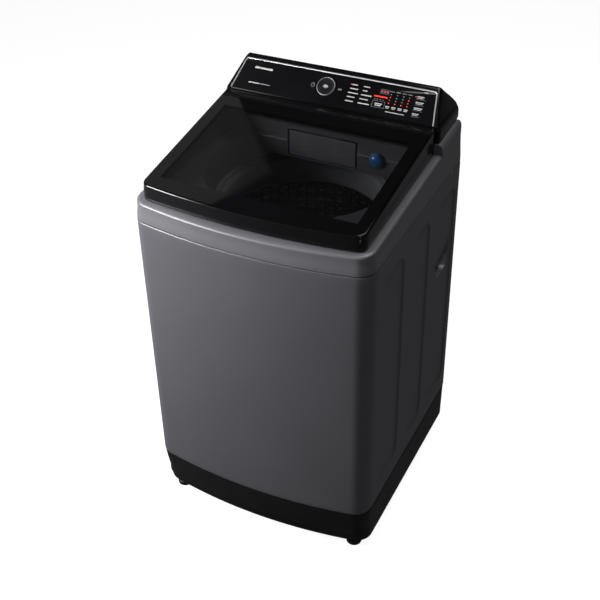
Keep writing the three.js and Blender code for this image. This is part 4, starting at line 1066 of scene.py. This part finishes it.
def rings_round_the_mouth():
    bottom = DRUM_TOP + 0.3
    balance = rounded_profile([
        (OPENING + 2, bottom), (DRUM_OUTER, bottom), (DRUM_OUTER + 3, bottom + 8),
        (DRUM_OUTER + 3, BALANCE_TOP - 10), (DRUM_OUTER - 5, BALANCE_TOP - 2), (OPENING + 12, BALANCE_TOP),
        (OPENING, BALANCE_TOP - 8), (OPENING, bottom + 10),
    ], 9, 5)
    balance = turned(balance, 128, 0, DRUM_Y)
    balance.piece("balance_ring_shell", "grey_plastic", "drum", "grey_plastic", ["balance_ring"])
    ring = rounded_profile([
        (235, 738.3), (238, 738.3), (238, 759), (235, 762), (OPENING + 14, 762), (OPENING + 11, 760),
        (OPENING + 11, 757), (OPENING + 14, 758), (235, 758),
    ], 2, 2)
    turned(ring, 128, 0, DRUM_Y).piece("tub_ring_shell", "grey_plastic", "tub", "grey_plastic", ["tub_ring"])


# ---- Drawer and nozzle ----
def drawer():
    face = Builder()
    rings = []
    for y, inset in ((WALL_Y + 3.2, 0.2), (WALL_Y + 0.4, 0), (WALL_Y - 0.2, 0.4), (WALL_Y - 0.5, 1.3)):
        plan = rounded_rectangle(-DRAWER_HALF + inset, DRAWER_HALF - inset, DRAWER_BOTTOM - 1 + inset,
                                 DRAWER_TOP - inset, 3)
        rings.append([(x, y, z) for x, z in plan])
    face.solid(rings)
    face.piece("drawer_face", "deck_plastic", "drawer", "cover_plastic", ["drawer_front"])
    marks = Builder()
    y = WALL_Y - 0.55
    for x, seed in ((-42, 1), (32, 2)):
        start = x - 11
        for i in range(9):
            wide = 1.7 + 0.5 * ((seed + i) % 3)
            marks.block(start, start + wide, y - 0.08, y + 0.1, 812, 815.2, 0.05)
            start += wide + 0.5
        hoop = []
        for i in range(24):
            angle = 2 * math.pi * i / 24
            hoop.append([(x + r * math.cos(angle), y + dy, 828 + r * math.sin(angle))
                         for r, dy in ((3.6, -0.08), (4.4, -0.08), (4.4, 0.1), (3.6, 0.1))])
        marks.loft(hoop, loop=True)
    marks.piece("drawer_marks", "legend_dim", "drawer", "cover_plastic")


def nozzle():
    """The blue dome on the well's rear wall, with its stem through the wall."""
    profile = [(0, -8.7), (9.7, -8.7), (10, -8), (10, 0.3), (16.6, 0.3), (17, 0.8), (17, 2.2), (16.3, 5.2),
               (14.4, 8.6), (11.6, 11), (8, 12.8), (4, 13.8), (0, 14)]
    seat = Matrix.Translation((NOZZLE_X, WALL_Y - 0.3, NOZZLE_Z)) @ Matrix.Rotation(math.pi / 2, 4, "X")
    dome = turned(profile, 64)
    dome.piece("bubble_nozzle_dome", "blue_plastic", "cabinet", "blue_plastic", ["bubble_nozzle"], seat, 60)


# ---- Carried-over CAD nodes ----
# Finish, width of the softened edges (millimetres) and nodes.
NODE_LOOKS = (
    ("zinc", 0.4, ("rear_panel",)),
    ("zinc", 0.6, ("rear_access_cover",)),
    ("deck_plastic", 0.6, ("bleach_cup",)),
    ("circuit", 0.3, ("display_board",)),
    ("white_plastic", 0.8, ("inlet_valve_cold", "inlet_valve_hot", "lint_filter_left", "lint_filter_right")),
    ("rubber", 0.6, ("cord_gland", "drain_bellows")),
    ("circuit", 0.5, ("main_board_tray",)),
    ("grey_plastic", 0.5, ("drawer_housing",)),
    ("grey_plastic", 0.6, ("drawer_tray",)),
    ("blue_plastic", 0.8, ("softener_cap",)),
    ("base_plastic", 0.6, ("lock_housing",)),
    ("zinc", 0.3, ("lock_bolt", "hinge_bracket_left", "hinge_bracket_right", "lid_striker")),
    ("base_plastic", 1, ("drain_pump",)),
    ("rubber", 0, ("drain_hose",)),
    ("base_plastic", 0.8, ("drain_outlet",)),
    ("steel", 0.3, ("hinge_pin_left", "hinge_pin_right")),
    ("rubber", 0.4, ("lid_bumper_left", "lid_bumper_right")),
    ("tub_plastic", 0.8, ("outer_tub",)),
    ("aluminium", 0.8, ("bearing_housing",)),
    ("copper", 0.5, ("stator",)),
    ("aluminium", 1, ("drum_hub",)),
    ("grey_plastic", 1.5, ("pulsator",)),
    ("steel", 0.4, ("drive_shaft",)),
    ("iron", 0.8, ("rotor",)),
)


def dress_cad_nodes():
    """Materials and softened edges for the nodes that are carried over as they are."""
    springs = [f"{part}_{name}" for name, _, _ in CORNERS for part in ("suspension_rod", "rod_spring")]
    for finish, width, names in NODE_LOOKS + (("steel", 0, springs),):
        for name in names:
            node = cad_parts[name]
            node.data.materials.clear()
            node.data.materials.append(LOOKS[finish])
            if width:
                soften(node, width)


# ---- Stage, lights and camera ----
def add_camera():
    cos, sin = math.cos, math.sin
    flat = cos(CAMERA_ELEVATION)
    back = Vector((sin(CAMERA_AZIMUTH) * flat, -cos(CAMERA_AZIMUTH) * flat, sin(CAMERA_ELEVATION)))
    level = Vector((cos(CAMERA_AZIMUTH), sin(CAMERA_AZIMUTH), 0))
    up = back.cross(level)
    right = level * cos(CAMERA_ROLL) + up * sin(CAMERA_ROLL)
    above = -level * sin(CAMERA_ROLL) + up * cos(CAMERA_ROLL)
    data = bpy.data.cameras.new("camera")
    data.sensor_width = 36
    data.lens = CAMERA_LENS
    camera = bpy.data.objects.new("camera", data)
    camera.matrix_world = Matrix.Translation(CAMERA_AT) @ Matrix((right, above, back)).transposed().to_4x4()
    bpy.context.scene.collection.objects.link(camera)
    bpy.context.scene.camera = camera


def add_light(name, at, aim, size, power):
    data = bpy.data.lights.new(name, "AREA")
    data.shape = "RECTANGLE"
    data.size, data.size_y = size
    data.energy = power
    light = bpy.data.objects.new(name, data)
    light.location = at
    light.rotation_mode = "QUATERNION"
    light.rotation_quaternion = (Vector(aim) - Vector(at)).to_track_quat("-Z", "Y")
    bpy.context.scene.collection.objects.link(light)


def add_stage():
    """A white floor that only the camera sees."""
    mesh = bpy.data.meshes.new("floor")
    reach = 12
    corners = [(-reach, -reach, 0), (reach, -reach, 0), (reach, reach, 0), (-reach, reach, 0)]
    mesh.from_pydata(corners, [], [(0, 1, 2, 3)])
    floor = bpy.data.objects.new("floor", mesh)
    floor.location.z = -0.0004
    floor.visible_glossy = False
    floor.visible_diffuse = False
    bpy.context.scene.collection.objects.link(floor)
    white = look("floor_white", (0.2, 0.2, 0.2), 0.9, tone=0.01, tone_size=900, specular=0)
    shader = white.node_tree.nodes["Principled BSDF"]
    glow = {"Emission Color": (1, 1, 1, 1), "Emission Strength": FLOOR_GLOW}
    set_inputs(white.node_tree, shader, glow)
    mesh.materials.append(white)


def add_studio():
    """A dim world, pale below the horizon at the left and nearly dark above it, and the lights."""
    world = bpy.data.worlds.new("studio")
    world.use_nodes = True
    tree = world.node_tree
    place = node_of(tree, "ShaderNodeTexCoord").outputs["Generated"]
    split = node_of(tree, "ShaderNodeSeparateXYZ", {"Vector": place})

    def ramp(axis, start, end, low, high):
        inputs = {"From Min": start, "From Max": end, "To Min": low, "To Max": high}
        inputs["Value"] = split.outputs[axis]
        node = node_of(tree, "ShaderNodeMapRange", inputs, interpolation_type="SMOOTHSTEP")
        return node.outputs["Result"]

    glow = calculate(tree, "MULTIPLY", ramp("X", -0.75, -0.28, GLOW_LEFT, 0), ramp("Z", -0.8, -0.4, 0.15, 1))
    glow = calculate(tree, "MULTIPLY", glow, ramp("Z", -0.05, 0.15, 1, 0))
    total = calculate(tree, "ADD", glow, ramp("Z", -0.15, 0.1, WORLD_BELOW, WORLD_ABOVE))
    set_inputs(tree, tree.nodes["Background"], {"Color": (0.93, 0.95, 1, 1), "Strength": total})
    bpy.context.scene.world = world
    bpy.context.scene.view_settings.view_transform = "Standard"
    for light in LIGHTS:
        add_light(*light)


add_camera()
add_stage()
add_studio()
cabinet_wrap()
base_skirt()
feet()
top_cover()
lid_frame()
lid_glass()
console()
panel()
dial()
legends()
drum_wall()
rings_round_the_mouth()
drawer()
nozzle()
dress_cad_nodes()
